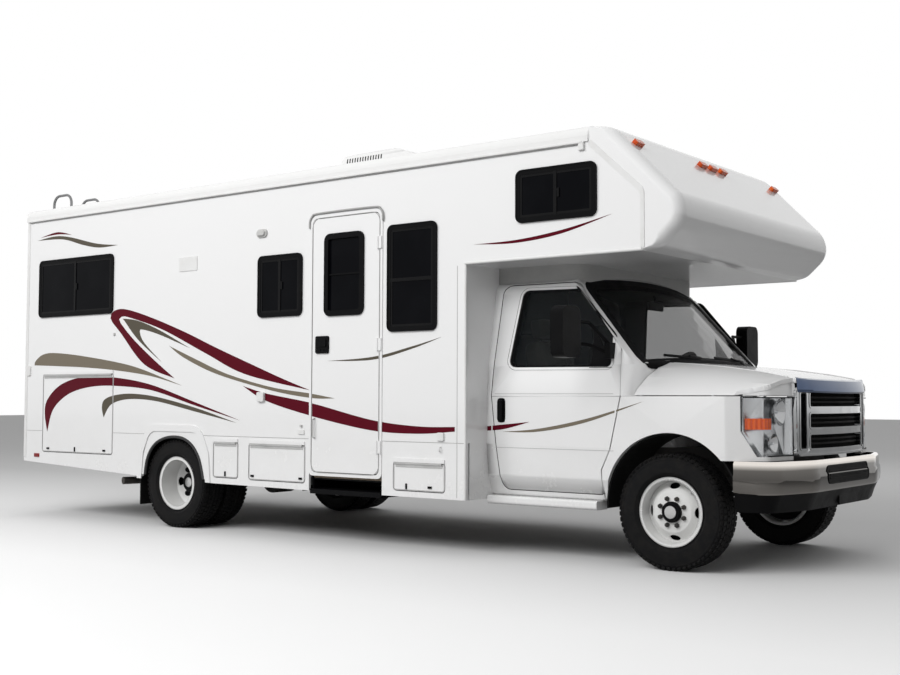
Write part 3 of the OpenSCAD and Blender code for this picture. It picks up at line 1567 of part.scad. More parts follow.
module windscreen() {
  color(dark_glass) car()
    intersection() {
      difference() {
        screen_bulge(glass_t);
        screen_bulge(glass_t * 2);
      }
      screen_prism(seat);
    }
}

module dashboard() {
  zc = dash_z + dash_h * 0.55;
  rows = [
    [-dash_x, dash_z, dash_r], [0, dash_z, 0], [0, dash_z + dash_h, 0], [-dash_x * 0.72, dash_z + dash_h, dash_r],
    [-dash_x, zc, dash_r]
  ];
  color(black) car() {
    intersection() {
      plate_y(rounded(rows), -half_cab, half_cab);
      plate_x(cab_section(cab_door_t + 2 * shut_gap), -cab_door_rear, 0);
      behind_firewall(cab_t + 3 * seat);
    }
    translate([-wheel_x, wheel_y, wheel_z])
      rotate([0, -wheel_lean, 0]) {
        rotate_extrude($fn = 64)
          translate([hand_r, 0])
            circle(r = grip_r, $fn = 24);
        translate([0, 0, -column_l])
          cylinder(r = grip_r * 2, h = column_l + grip_r, $fn = 32);
        for (a = [0, 120, 240])
          rotate([0, 0, a])
            translate([0, -grip_r, -grip_r / 2])
              cube([hand_r, grip_r * 2, grip_r]);
      }
  }
}

module cab_seats() {
  z = rail_top + cab_floor_t;
  rows = [
    [-seat_x, z, 0], [-seat_x + seat_l, z, 0], [-seat_x + seat_l, z + seat_h, seat_r],
    [-seat_x + seat_t, z + seat_h, seat_r / 2], [-seat_x + seat_t - seat_lean, z + seat_top, seat_r],
    [-seat_x - seat_lean, z + seat_top, seat_r], [-seat_x, z + seat_h / 2, 0]
  ];
  color(grey) car()
    both()
      plate_y(rounded(rows), seat_y - seat_w / 2, seat_y + seat_w / 2);
}

module running_boards() {
  y1 = half_cab + shut_gap;
  rows = [
    [y1 - board_w, cab_z - board_t, 0], [y1, cab_z - board_t, board_t / 3], [y1, cab_z, board_t / 4],
    [y1 - board_w, cab_z, 0]
  ];
  color(white) car()
    both()
      plate_x(rounded(rows), board_rear, -cab_door_toe - board_t / 2);
}

module entry_door() {
  pane = box_rows(entry_front - entry_pane_x - entry_pane_w, entry_z + entry_pane_z, entry_pane_w,
    entry_pane_h, window_r);
  color(white) car() {
    difference() {
      plate_y(rounded(entry_rows(0)), -entry_face, entry_t - entry_face);
      plate_y(rounded(pane), -entry_face - past, entry_t);
    }
    for (s = hinge_shares)
      translate([entry_front - barrel_r, -entry_face - barrel_r + lap, entry_z + s * entry_h])
        cylinder(r = barrel_r, h = barrel_h, $fn = 32);
  }
}

module entry_door_glass() {
  pane = box_rows(entry_front - entry_pane_x - entry_pane_w, entry_z + entry_pane_z, entry_pane_w,
    entry_pane_h, window_r);
  color(dark_glass) car()
    plate_y(rounded(pane, seat), -entry_face + glass_t, -entry_face + 2 * glass_t);
}

// Right-hand cab door
module cab_door() {
  difference() {
    intersection() {
      difference() {
        plate_x(cab_section(), -coach_front, 0);
        plate_x(cab_section(cab_door_t), -coach_front - past, past);
      }
      door_prism(shut_gap);
    }
    pane_prism(0);
  }
}

module cab_door_glass() {
  intersection() {
    difference() {
      plate_x(cab_section(cab_glass_in), -coach_front, 0);
      plate_x(cab_section(cab_glass_in + glass_t), -coach_front - past, past);
    }
    pane_prism(seat);
  }
}

// Right-hand mirror with its arms and foot
module mirror_body() {
  x = -mirror_x;
  foot = [-mirror_foot_x, -half_cab, mirror_foot_z];
  difference() {
    union() {
      plate_x(rounded(box_rows(-mirror_y - mirror_w / 2, mirror_z - mirror_h / 2, mirror_w, mirror_h,
        mirror_w / 4)), x - mirror_t / 2, x + mirror_t / 2);
      for (s = [-1, 1])
        tube([
          [x, -mirror_y, mirror_z + s * mirror_h * 0.22], [x + lap, -half_cab - mirror_h * 0.3,
            mirror_z + s * mirror_h * 0.22],
          foot + [0, mirror_foot, s * mirror_foot]
        ], arm_r, [0, 0, 1]);
      translate(foot)
        translate([-mirror_foot * 0.8, -mirror_foot * 1.2, -mirror_foot * 2])
          cube([mirror_foot * 1.6, mirror_foot * 1.2 + half_cab * foot_share, mirror_foot * 4]);
    }
    plate_x(cab_section(), -coach_front, 0);
  }
}

module cab_door_right() { color(white) car() cab_door(); }
module cab_door_left() { color(white) car() mirror([0, 1, 0]) cab_door(); }
module cab_door_glass_right() { color(dark_glass) car() cab_door_glass(); }
module cab_door_glass_left() { color(dark_glass) car() mirror([0, 1, 0]) cab_door_glass(); }
module mirror_right() { color(black) car() mirror_body(); }
module mirror_left() { color(black) car() mirror([0, 1, 0]) mirror_body(); }

module bonnet() {
  x0 = -screen_x - bonnet_back;
  l = bow_front + lap * 7 - x0;
  base = belt_z + shut_gap / 2;
  half = [for (s = back(bonnet_shares)) s];
  across = concat([for (s = half) [-s[0], s[1]]], [for (i = [1:len(bonnet_shares) - 1]) bonnet_shares[i]]);
  sections = [
    for (r = bonnet_run_shares)
      let (rise = bonnet_rise_rear + (bonnet_rise_front - bonnet_rise_rear) * r[1], x = x0 + r[0] * l)
      concat(
        [for (s = across) [x, s[0] * half_cab, base + s[1] * rise]],
        [for (s = back(across))
          [x, s[0] * (half_cab - bonnet_t), max(base, base + s[1] * rise - bonnet_t)]]
      )
  ];
  color(white) car()
    difference() {
      intersection() {
        band(sections);
        union() {
          plate_z(clip_plan(0), base - past, base + bonnet_rise_rear + past);
          bow(0, grille_w, base - past, base + bonnet_rise_rear + past);
        }
      }
      translate([shut_gap, 0, 0])
        behind_firewall(0);
    }
}

// Right-hand hatch leaf with its hinge barrel along the top
module hatch(h, t) {
  plate_y(rounded(box_rows(h[0], h[1], h[2], h[3], hatch_r)), -wall_y, t - wall_y);
  translate([h[0] + hatch_r, -wall_y - barrel_r + lap, h[1] + h[3] - barrel_r])
    rotate([0, 90, 0])
      cylinder(r = barrel_r, h = h[2] - 2 * hatch_r, $fn = 32);
}

module hatch_rear_right() { color(white) car() hatch(hatch_a, hatch_t); }
module hatch_small_right() { color(white) car() hatch(hatch_b, hatch_t); }
module hatch_mid_right() { color(white) car() hatch(hatch_c, hatch_t); }
module hatch_front_right() { color(white) car() hatch(hatch_d, hatch_t); }
module hatch_rear_left() { color(white) car() mirror([0, 1, 0]) hatch(hatch_a, hatch_t); }

// Right-hand steering knuckle: two ears on the kingpin, an upright and the spindle
module knuckle() {
  ky = front_track / 2 - kingpin_offset;
  z1 = hub_z + boss_h / 2 + ear_gap;
  y1 = ky + boss_r + ear_gap * 4;
  difference() {
    union() {
      for (z = [z1, 2 * hub_z - z1 - ear_t])
        block(-boss_r, boss_r, -y1 - lap, boss_r - ky, z, z + ear_t);
      block(-boss_r, boss_r, -y1 - upright_t, -y1, 2 * hub_z - z1 - ear_t, z1 + ear_t);
      translate([0, -y1, hub_z])
        rotate([90, 0, 0])
          cylinder(r = spindle_r, h = front_track / 2 + spindle_out - y1, $fn = 64);
    }
    translate([0, -ky, hub_z])
      cylinder(r = kingpin_r + run_gap, h = pin_h * 2, center = true, $fn = 48);
  }
}

module knuckle_right() { color(steel) car() knuckle(); }
module knuckle_left() { color(steel) car() mirror([0, 1, 0]) knuckle(); }

// Places a wheel of the right-hand side: local Z points outwards
module wheel_place(x, y) {
  translate([x, -y, hub_z])
    rotate([90, 0, 0])
      children();
}

module tyre() {
  half = [for (s = tyre_shares) [bead_r + s[0] * (tyre_d / 2 - bead_r), s[1] * tyre_w / 2]];
  rotate_extrude($fn = 96)
    polygon(concat([for (p = half) [p[0], -p[1]]], back(half)));
}

// Rim's ring with its two flanges
module rim() {
  r = bead_r - seat;
  w = rim_w / 2;
  rotate_extrude($fn = 96)
    polygon([
      [r - wheel_t, -w], [rim_d / 2, -w], [rim_d / 2, flange_t - w], [r, flange_t - w], [r, w - flange_t],
      [rim_d / 2, w - flange_t], [rim_d / 2, w], [r - wheel_t, w]
    ]);
}

// Pressed disc from rows [share of the rim's radius, share of the depth], with its hand holes
module disc(shares, depth) {
  r = bead_r - wheel_t + lap;
  line = [for (s = shares) [s[0] * r, s[1] * depth]];
  hole = [for (i = [0:19]) [hole_at_share * bead_r + hole_l * cos(18 * i), hole_w * sin(18 * i)]];
  difference() {
    rotate_extrude($fn = 96)
      polygon(concat(line, [for (p = back(line)) [p[0], p[1] - wheel_t]]));
    for (a = [0, 90, 180, 270])
      rotate([0, 0, a])
        translate([0, 0, -depth - past])
          linear_extrude(2 * depth + 2 * past)
            polygon(hole);
  }
}

module front_wheel() {
  difference() {
    union() {
      rim();
      disc(front_disc_shares, rim_w / 2);
      translate([0, 0, -hub_in])
        cylinder(r = hub_r, h = hub_in + hub_out, $fn = 64);
    }
    translate([0, 0, -hub_in - past])
      cylinder(r = spindle_r + run_gap, h = hub_in + past + spindle_out + ear_gap * 2, $fn = 64);
  }
}

module rear_wheels() {
  difference() {
    union() {
      for (s = [0, 1])
        mirror([0, 0, s]) {
          translate([0, 0, dual_spacing / 2])
            rim();
          disc(rear_disc_shares, dual_spacing / 2);
        }
      translate([0, 0, -hub_in])
        cylinder(r = rear_hub_r, h = hub_in + hub_out, $fn = 64);
    }
    translate([0, 0, -hub_in - past])
      cylinder(r = axle_r + run_gap, h = hub_in + past + axle_end + ear_gap * 2, $fn = 64);
  }
}

module rear_tyre_pair() {
  for (s = [-1, 1])
    translate([0, 0, s * dual_spacing / 2])
      tyre();
}

module front_wheel_right() { color(white) car() wheel_place(0, front_track / 2) front_wheel(); }
module front_tyre_right() { color(black) car() wheel_place(0, front_track / 2) tyre(); }
module front_wheel_left() { color(white) car() mirror([0, 1, 0]) wheel_place(0, front_track / 2) front_wheel(); }
module front_tyre_left() { color(black) car() mirror([0, 1, 0]) wheel_place(0, front_track / 2) tyre(); }
module rear_wheels_right() { color(white) car() wheel_place(rear_axle_x, rear_track / 2) rear_wheels(); }
module rear_tyres_right() { color(black) car() wheel_place(rear_axle_x, rear_track / 2) rear_tyre_pair(); }
module rear_wheels_left() {
  color(white) car() mirror([0, 1, 0]) wheel_place(rear_axle_x, rear_track / 2) rear_wheels();
}
module rear_tyres_left() {
  color(black) car() mirror([0, 1, 0]) wheel_place(rear_axle_x, rear_track / 2) rear_tyre_pair();
}

chassis_frame();
front_axle();
rear_axle();
powertrain();
exhaust();
fuel_tank();
coach_floor();
coach_wall_right();
coach_wall_left();
coach_rear_wall();
coach_roof();
coach_front_panels();
cabover_cap();
cabover_floor();
coach_skirts();
wheel_wells();
storage_boxes();
window_frames();
window_glass();
entry_door_frame();
entry_step();
roof_units();
rear_ladder();
rear_bumper();
marker_lamps();
tail_lamps();
cab_shell();
front_fenders();
grille();
headlamps();
front_bumper();
bumper_valance();
windscreen();
dashboard();
cab_seats();
running_boards();
entry_door();
entry_door_glass();
cab_door_right();
cab_door_glass_right();
mirror_right();
cab_door_left();
cab_door_glass_left();
mirror_left();
bonnet();
hatch_rear_right();
hatch_small_right();
hatch_mid_right();
hatch_front_right();
hatch_rear_left();
knuckle_right();
knuckle_left();
front_wheel_right();
front_tyre_right();
front_wheel_left();
front_tyre_left();
rear_wheels_right();
rear_tyres_right();
rear_wheels_left();
rear_tyres_left();
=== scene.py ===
"""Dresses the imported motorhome: paint, stripes, glass, trim, wheels, lamps and seats."""
import math

import bmesh
import bpy
from mathutils import Matrix, Vector
from mathutils.bvhtree import BVHTree


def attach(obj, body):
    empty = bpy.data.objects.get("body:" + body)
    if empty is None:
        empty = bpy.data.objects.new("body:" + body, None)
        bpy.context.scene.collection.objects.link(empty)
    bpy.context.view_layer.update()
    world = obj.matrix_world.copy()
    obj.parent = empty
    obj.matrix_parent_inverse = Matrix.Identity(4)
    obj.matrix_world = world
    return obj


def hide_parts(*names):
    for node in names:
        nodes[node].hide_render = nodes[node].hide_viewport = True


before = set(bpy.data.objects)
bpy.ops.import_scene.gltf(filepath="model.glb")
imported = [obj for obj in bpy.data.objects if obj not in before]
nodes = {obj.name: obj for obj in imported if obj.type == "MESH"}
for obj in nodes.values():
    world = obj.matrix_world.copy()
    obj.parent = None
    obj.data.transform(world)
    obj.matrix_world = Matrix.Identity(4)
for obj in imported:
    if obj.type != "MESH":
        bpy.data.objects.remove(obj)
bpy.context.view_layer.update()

# Places and sizes that several pieces share, in metres
AXLE = 2.97
REAR_AXLE = -1.5
HUB_Z = 0.369
WALL = 1.25
# Fittings and thin lines start just inside the wall's outer face, a little apart from each other
BED = 1.2495
LINE_BED = 1.2496
REAR_BED = -3.6495
# Thickness of the coloured films
SKIN = 0.0012
# Where rays towards the front and towards a side start
AHEAD = 5.0
ASIDE = 2.0
# Points nearer than this become one
SAME = 1e-5
both_sides = ((-1, "right"), (1, "left"))


# Shader sockets as Python values
class Value:
    def __init__(self, tree, socket=None):
        self.tree = tree
        self.socket = socket

    def node(self, kind, settings=None, out=0, **inputs):
        """Adds a node: its settings first, then its sockets by name (spaces as _) or i0, i1 by place."""
        made = self.tree.nodes.new("ShaderNode" + kind)
        for key, value in (settings or {}).items():
            if key == "stops":
                ramp = made.color_ramp.elements
                for i, (at, tone) in enumerate(value):
                    stop = ramp[i] if i < len(ramp) else ramp.new(at)
                    stop.position = at
                    stop.color = (*tone, 1)
            else:
                setattr(made, key, value)
        for key, value in inputs.items():
            place = int(key[1:]) if key[1:].isdigit() and key[0] == "i" else key.replace("_", " ")
            target = made.inputs[place]
            if isinstance(value, Value):
                self.tree.links.new(value.socket, target)
            else:
                target.default_value = value
        return Value(self.tree, made.outputs[out])

    def maths(self, operation, *values):
        return self.node("Math", {"operation": operation}, **{f"i{i}": v for i, v in enumerate(values)})

    def __add__(self, other):
        return self.maths("ADD", self, other)

    __radd__ = __add__

    def __sub__(self, other):
        return self.maths("SUBTRACT", self, other)

    def __rsub__(self, other):
        return self.maths("SUBTRACT", other, self)

    def __mul__(self, other):
        return self.maths("MULTIPLY", self, other)

    __rmul__ = __mul__

    def __truediv__(self, other):
        return self.maths("DIVIDE", self, other)

    def __rtruediv__(self, other):
        return self.maths("DIVIDE", other, self)

    def clamp(self):
        """Kept between 0 and 1."""
        return self.node("Clamp", Value=self)

    def step(self, edge, soft):
        """0 below edge, 1 above edge + soft."""
        return ((self - edge) / soft).clamp()

    def axis(self, name):
        return self.node("SeparateXYZ", {}, "XYZ".index(name), Vector=self)

    def noise(self, scale, detail=3.0, rough=0.5):
        return self.node("TexNoise", {}, "Fac", Vector=self, Scale=scale, Detail=detail, Roughness=rough)

    def tint(self, low, high):
        """Mixes two colours by this value."""
        return self.node("Mix", {"data_type": "RGBA"}, 2, i0=self, i6=(*low, 1), i7=(*high, 1))

    def over(self, below, above):
        return self.node("Mix", {"data_type": "RGBA"}, 2, i0=self, i6=below, i7=above)

    def bump(self, strength, distance):
        return self.node("Bump", {}, Height=self, Strength=strength, Distance=distance)


def finish_of(name, **fixed):
    """A new material: its Principled shader, its object coordinates and a way to link sockets."""
    material = bpy.data.materials.new(name)
    material.use_nodes = True
    tree = material.node_tree
    shader = next(n for n in tree.nodes if n.type == "BSDF_PRINCIPLED")
    for key, value in fixed.items():
        shader.inputs[key.replace("_", " ")].default_value = value

    def link(**sockets):
        for key, value in sockets.items():
            tree.links.new(value.socket, shader.inputs[key.replace("_", " ")])

    return material, Value(tree).node("TexCoord", out="Object"), link


def paint(name, tone, grime, rough=0.22, low=0.35, high=1.1, coat=0.6, shine=0.5):
    """Gloss paint: faint mottling, road film that grows towards the ground, a little unevenness."""
    material, spot, link = finish_of(name, Coat_Weight=coat, Coat_Roughness=0.06, IOR=1.5,
                                     Specular_IOR_Level=shine)
    film = (1 - spot.axis("Z").step(low, high - low)) * spot.noise(5.0, 5.0, 0.6).step(0.35, 0.5)
    film = (film + spot.noise(0.9, 4.0).step(0.56, 0.3) * 0.16) * 0.24
    link(
        Base_Color=film.tint(tone, grime),
        Roughness=rough + film * 0.3 + spot.noise(34.0, 2.0) * 0.05,
        Normal=(spot.noise(2.2, 2.0) + spot.noise(160.0, 1.0) * 0.02).bump(0.06, 0.02),
    )
    return material


def moulded(name, tone, pale, rough=0.5, grain=900.0, depth=0.3, shine=0.5):
    """Moulded plastic or painted steel with a fine grain and worn, dusty patches."""
    material, spot, link = finish_of(name, Specular_IOR_Level=shine)
    dust = spot.noise(7.0, 5.0, 0.6).step(0.45, 0.35)
    link(
        Base_Color=dust.tint(tone, pale),
        Roughness=rough + dust * 0.18,
        Normal=spot.noise(grain, 2.0).bump(depth, 0.001),
    )
    return material


def plated(name, tone, rough=0.06, smear=0.12):
    material, spot, link = finish_of(name, Metallic=1.0)
    haze = spot.noise(9.0, 4.0).step(0.45, 0.4)
    link(
        Base_Color=haze.tint(tone, tuple(c * 0.86 for c in tone)),
        Roughness=rough + haze * smear,
        Normal=spot.noise(6.0, 2.0).bump(0.03, 0.01),
    )
    return material


def reflection_banded(name, bands):
    """Plating with soft grey bands by height, a painted reflection of the dark ground and the bright sky:
    rows of height and grey.
    """
    material, spot, link = finish_of(name, Metallic=1.0)
    low, high = bands[0][0], bands[-1][0]
    sway = spot.noise(1.6, 2.0) * 0.012
    share = (spot.axis("Z") + sway - low) / (high - low)
    stops = [((z - low) / (high - low), (grey * 1.06, grey, grey * 0.93)) for z, grey in bands]
    link(Base_Color=share.node("ValToRGB", {"stops": stops}, Fac=share),
         Roughness=0.08 + spot.noise(9.0, 4.0).step(0.45, 0.4) * 0.1)
    return material


def pane(name, tone, alpha, rough=0.02, shine=0.75):
    """Tinted glass: a thin dark film that lets a fixed share through, with faint smears."""
    material, spot, link = finish_of(name, Alpha=alpha, IOR=1.5, Specular_IOR_Level=shine)
    smear = spot.noise(3.5, 4.0).step(0.4, 0.5)
    link(Base_Color=smear.tint(tone, tuple(c * 1.3 + 0.002 for c in tone)), Roughness=rough + smear * 0.03)
    return material


def lens(name, tone, deep):
    """Lamp lens with fine ribs."""
    material, spot, link = finish_of(name, Coat_Weight=0.3, Coat_Roughness=0.02, Specular_IOR_Level=0.25)
    rib = spot.maths("SINE", spot.axis("Y") * 420.0) * 0.5 + 0.5
    link(Base_Color=rib.tint(deep, tone), Roughness=0.12 + rib * 0.1, Normal=rib.bump(0.5, 0.003))
    return material


def cloth(name, tone, pale):
    material, spot, link = finish_of(name, Sheen_Weight=0.3, Sheen_Roughness=0.5)
    weave = spot.node("TexWave", {"bands_direction": "Y"}, "Fac", Vector=spot, Scale=90.0, Distortion=0.6)
    cross = spot.node("TexWave", {"bands_direction": "Z"}, "Fac", Vector=spot, Scale=90.0, Distortion=0.6)
    thread = weave * cross
    link(
        Base_Color=(thread * 0.7 + spot.noise(6.0, 3.0) * 0.4).clamp().tint(tone, pale),
        Roughness=0.85 + thread * 0.1,
        Normal=thread.bump(0.5, 0.002),
    )
    return material


def tyre_rubber(name):
    material, spot, link = finish_of(name, Specular_IOR_Level=0.1)
    dust = spot.noise(16.0, 6.0, 0.65).step(0.42, 0.4)
    link(
        Base_Color=dust.tint((0.006, 0.006, 0.0065), (0.017, 0.016, 0.015)),
        Roughness=0.55 + dust * 0.3,
        Normal=spot.noise(240.0, 3.0).bump(0.35, 0.002),
    )
    return material


white = paint("gloss_white", (0.8, 0.8, 0.8), (0.6, 0.585, 0.555))
roof_white = paint("roof_white", (0.76, 0.76, 0.755), (0.62, 0.61, 0.58), 0.4, 2.2, 3.4, 0.1)
wheel_white = paint("wheel_white", (0.72, 0.72, 0.71), (0.4, 0.385, 0.36), 0.3, 0.05, 0.75)
burgundy = paint("burgundy_film", (0.088, 0.0015, 0.009), (0.096, 0.004, 0.012), 0.3, coat=0.0, shine=0.08)
taupe = paint("taupe_film", (0.175, 0.15, 0.112), (0.185, 0.158, 0.12), 0.3, coat=0.0, shine=0.15)
slate = paint("slate_film", (0.088, 0.076, 0.056), (0.096, 0.084, 0.063), 0.3, coat=0.0, shine=0.12)
black = moulded("black_trim", (0.0035, 0.0035, 0.004), (0.006, 0.006, 0.006), 0.42, shine=0.06)
soft_black = moulded("soft_black", (0.007, 0.007, 0.007), (0.014, 0.0135, 0.013), 0.7, 500.0, 0.5, 0.12)
# Black rubber, also the dark band round the windscreen that is partly painted shade
gasket_and_shade = moulded("gasket_rubber", (0.0035, 0.0035, 0.004), (0.006, 0.006, 0.006), 0.5, shine=0.07)
grey_dash = moulded("dash_grey", (0.12, 0.116, 0.11), (0.15, 0.145, 0.14), 0.6, 700.0, 0.5)
liner = moulded("box_lining", (0.16, 0.16, 0.16), (0.22, 0.215, 0.21), 0.8, 300.0, 0.6)
floor_board = moulded("floor_board", (0.2, 0.15, 0.1), (0.26, 0.2, 0.14), 0.55, 120.0, 0.4)
under = moulded("under_steel", (0.02, 0.019, 0.018), (0.06, 0.052, 0.044), 0.65, 220.0, 0.6)
cast = moulded("cast_metal", (0.075, 0.072, 0.07), (0.13, 0.12, 0.11), 0.6, 160.0, 0.8)
chrome = plated("bright_plating", (0.44, 0.445, 0.45), 0.07)
satin = plated("satin_metal", (0.5, 0.5, 0.495), 0.28, 0.2)
ladder_metal = plated("ladder_metal", (0.26, 0.262, 0.265), 0.18, 0.2)
# Bumper plating dark through its middle and bright at its upper edge: painted reflection
bumper_painted_reflection = reflection_banded("bumper_plating", (
    (0.505, 0.26), (0.525, 0.15), (0.6, 0.075), (0.655, 0.11), (0.675, 0.42), (0.69, 0.74),
))
brow_metal = plated("brow_metal", (0.08, 0.105, 0.165), 0.1, 0.1)
reflector = plated("lamp_reflector", (0.52, 0.53, 0.54), 0.22, 0.1)
mirror_glass = plated("mirror_glass", (0.7, 0.72, 0.73), 0.01, 0.02)
dark_glass = pane("dark_glass", (0.002, 0.0022, 0.0032), 1.0, 0.02, 0.04)
side_glass = pane("side_glass", (0.006, 0.008, 0.009), 0.4, 0.02, 0.15)
cab_glass = pane("cab_glass", (0.01, 0.012, 0.013), 0.26, 0.02, 0.3)
clear_lens = pane("clear_lens", (0.6, 0.63, 0.65), 0.05)
amber = lens("amber_lens", (0.8, 0.115, 0.002), (0.58, 0.06, 0.001))
red = lens("red_lens", (0.34, 0.005, 0.006), (0.2, 0.002, 0.004))
# Grey of the door's crease lines: painted shadow
crease_shadow_grey = moulded("crease_shadow_grey", (0.46, 0.46, 0.46), (0.5, 0.5, 0.49), 0.5, 300.0, 0.1)
sash_black = moulded("sash_black", (0.006, 0.006, 0.0065), (0.009, 0.009, 0.009), 0.4, shine=0.08)
cab_trim = moulded("cab_trim", (0.09, 0.088, 0.084), (0.11, 0.107, 0.102), 0.7, 500.0, 0.4, 0.3)
trim_white = moulded("trim_white", (0.74, 0.74, 0.735), (0.68, 0.675, 0.66), 0.42, 400.0, 0.15)
# Grey of seams and gaps; also painted shade in the gap over the cab's roof and under the roof rail
seam_and_shade_grey = moulded("seam_and_shade_grey", (0.34, 0.34, 0.335), (0.4, 0.395, 0.385), 0.5, 300.0, 0.2)
lamp_grey = moulded("frosted_lamp", (0.5, 0.5, 0.49), (0.56, 0.555, 0.54), 0.3, 700.0, 0.1)
arch_rubber = moulded("arch_rubber", (0.045, 0.045, 0.046), (0.065, 0.064, 0.062), 0.6, shine=0.2)
seat_cloth = cloth("seat_cloth", (0.15, 0.14, 0.125), (0.24, 0.225, 0.2))
rubber = tyre_rubber("tyre_rubber")


# Mesh helpers: each adds a shape to a bmesh
def merge(bm, part, place):
    """Moves a small bmesh to its place and adds it to bm."""
    bmesh.ops.transform(part, matrix=place, verts=part.verts)
    if place.determinant() < 0:
        bmesh.ops.reverse_faces(part, faces=part.faces)
    keep = bpy.data.meshes.new("part")
    part.to_mesh(keep)
    part.free()
    bm.from_mesh(keep)
    bpy.data.meshes.remove(keep)


def edges_of(verts):
    """Edges at the vertices, each once and always in the same order."""
    return list(dict.fromkeys(e for v in verts for e in v.link_edges))


def bevel(bm, edges, r, n):
    bmesh.ops.bevel(bm, geom=edges, offset=r, offset_type="OFFSET", segments=n, profile=0.5,
                    affect="EDGES", material=-1, clamp_overlap=True)


def thicken(bm, faces, shift):
    """Pulls faces out along a vector and gives the new vertices."""
    made = bmesh.ops.extrude_face_region(bm, geom=faces)["geom"]
    top = [v for v in made if isinstance(v, bmesh.types.BMVert)]
    bmesh.ops.translate(bm, verts=top, vec=shift)
    return top


def add_box(bm, lo, hi, r=0.0, n=2):
    lo, hi = Vector(lo), Vector(hi)
    place = Matrix.Translation((lo + hi) / 2) @ Matrix.Diagonal((*(hi - lo), 1))
    made = bmesh.ops.create_cube(bm, size=1, matrix=place)["verts"]
    if r:
        bevel(bm, edges_of(made), r, n)


def slab(bm, s, x0, z0, x1, z1, y0, y1, r=0.0, n=2):
    """Box on side s, from y0 to y1 away from the middle."""
    a, b = sorted((s * y0, s * y1))
    add_box(bm, (x0, a, z0), (x1, b, z1), r, n)


def along(a, b):
    """Place whose Z runs from a to b, at their middle."""
    a, b = Vector(a), Vector(b)
    return Matrix.Translation((a + b) / 2) @ (b - a).to_track_quat("Z", "Y").to_matrix().to_4x4()


def add_drum(bm, a, b, r0, r1, n):
    bmesh.ops.create_cone(bm, cap_ends=True, segments=n, radius1=r0, radius2=r1,
                          depth=(Vector(b) - Vector(a)).length, matrix=along(a, b))


def add_turned(bm, profile, place, n, closed=False):
    """Spins rows [radius, height] about Z and puts the result at place."""
    part = bmesh.new()
    dots = [part.verts.new((r, 0, h)) for r, h in profile]
    lines = [part.edges.new(pair) for pair in zip(dots, dots[1:] + (dots[:1] if closed else []))]
    bmesh.ops.spin(part, geom=dots + lines, cent=(0, 0, 0), axis=(0, 0, 1), angle=math.tau, steps=n,
                   use_merge=True)
    bmesh.ops.remove_doubles(part, verts=part.verts, dist=SAME)
    bmesh.ops.recalc_face_normals(part, faces=part.faces)
    merge(bm, part, place)


def add_rod(bm, path, r, n, tall=None):
    """Rod along a path, round or, with tall, oval."""
    rings = []
    last = len(path) - 1
    for i, p in enumerate(path):
        d = Vector(path[min(i + 1, last)]) - Vector(path[max(i - 1, 0)])
        place = Matrix.Translation(p) @ d.to_track_quat("Z", "Y").to_matrix().to_4x4()
        place = place @ Matrix.Diagonal((1, (tall or r) / r, 1, 1))
        made = bmesh.ops.create_circle(bm, cap_ends=i in (0, last), segments=n, radius=r, matrix=place)
        rings.append(edges_of(made["verts"]))
    for a, b in zip(rings, rings[1:]):
        bmesh.ops.bridge_loops(bm, edges=a + b)


FACING = {
    "y": lambda p, t: (p[0], t, p[1]),
    "x": lambda p, t: (t, p[0], p[1]),
}


def add_plate(bm, points, facing, t0, t1, r=0.0, n=2):
    """Outline standing across an axis, from t0 to t1."""
    put = FACING[facing]
    face = bm.faces.new([bm.verts.new(put(p, t0)) for p in points])
    top = thicken(bm, [face], put((0, 0), t1 - t0))
    if r:
        rim = [e for e in edges_of(top) if all(v in top for v in e.verts)]
        bevel(bm, rim, r, n)


def add_ring(bm, outer, inner, facing, t0, t1):
    """Frame between two outlines of the same number of points."""
    put = FACING[facing]
    loops = []
    for points in (outer, inner):
        dots = [bm.verts.new(put(p, t0)) for p in points]
        loops += [bm.edges.new(pair) for pair in zip(dots, dots[1:] + dots[:1])]
    flat = bmesh.ops.bridge_loops(bm, edges=loops)["faces"]
    thicken(bm, flat, put((0, 0), t1 - t0))


def oblong(x0, z0, x1, z1, r):
    """Rounded rectangle, anticlockwise."""
    west, south, east, north = x0 + r, z0 + r, x1 - r, z1 - r
    dots = []
    for x, z, start in ((east, south, -90), (east, north, 0), (west, north, 90), (west, south, 180)):
        for turn in range(0, 91, 15):
            a = math.radians(start + turn)
            dots.append((x + r * math.cos(a), z + r * math.sin(a)))
    return dots


def add_frame(bm, box, outside, inside, r, t0, t1):
    """Frame across Y between two outlines set in from a rounded box x0, z0, x1, z1."""
    x0, z0, x1, z1 = box
    outlines = [oblong(x0 + d, z0 + d, x1 - d, z1 - d, max(r - d, 0.004)) for d in (outside, inside)]
    add_ring(bm, *outlines, "y", t0, t1)


def curve(points, n):
    """Smooth line through points, with n steps from one to the next."""
    held = [points[0], *points, points[-1]]
    line = []
    for a, b, c, d in zip(held, held[1:], held[2:], held[3:]):
        for j in range(n):
            t = j / n
            line.append(tuple(
                q + 0.5 * t * (r - p + t * (2 * p - 5 * q + 4 * r - s) + t * t * (3 * q - p - 3 * r + s))
                for p, q, r, s in zip(a, b, c, d)
            ))
    return line + [points[-1]]


def spaced(points, n, closed=False):
    """n points at even steps along a line."""
    line = list(points) + ([points[0]] if closed else [])
    gaps = [math.dist(p, q) for p, q in zip(line, line[1:])]
    step = sum(gaps) / (n if closed else n - 1)
    out = []
    i, gone = 0, 0.0
    for k in range(n):
        while i < len(gaps) - 1 and gone + gaps[i] < step * k:
            gone += gaps[i]
            i += 1
        t = (step * k - gone) / gaps[i] if gaps[i] else 0.0
        out.append(tuple(a + (b - a) * t for a, b in zip(line[i], line[i + 1])))
    return out


def span(a, b, n):
    return [a + (b - a) * i / (n - 1) for i in range(n)]


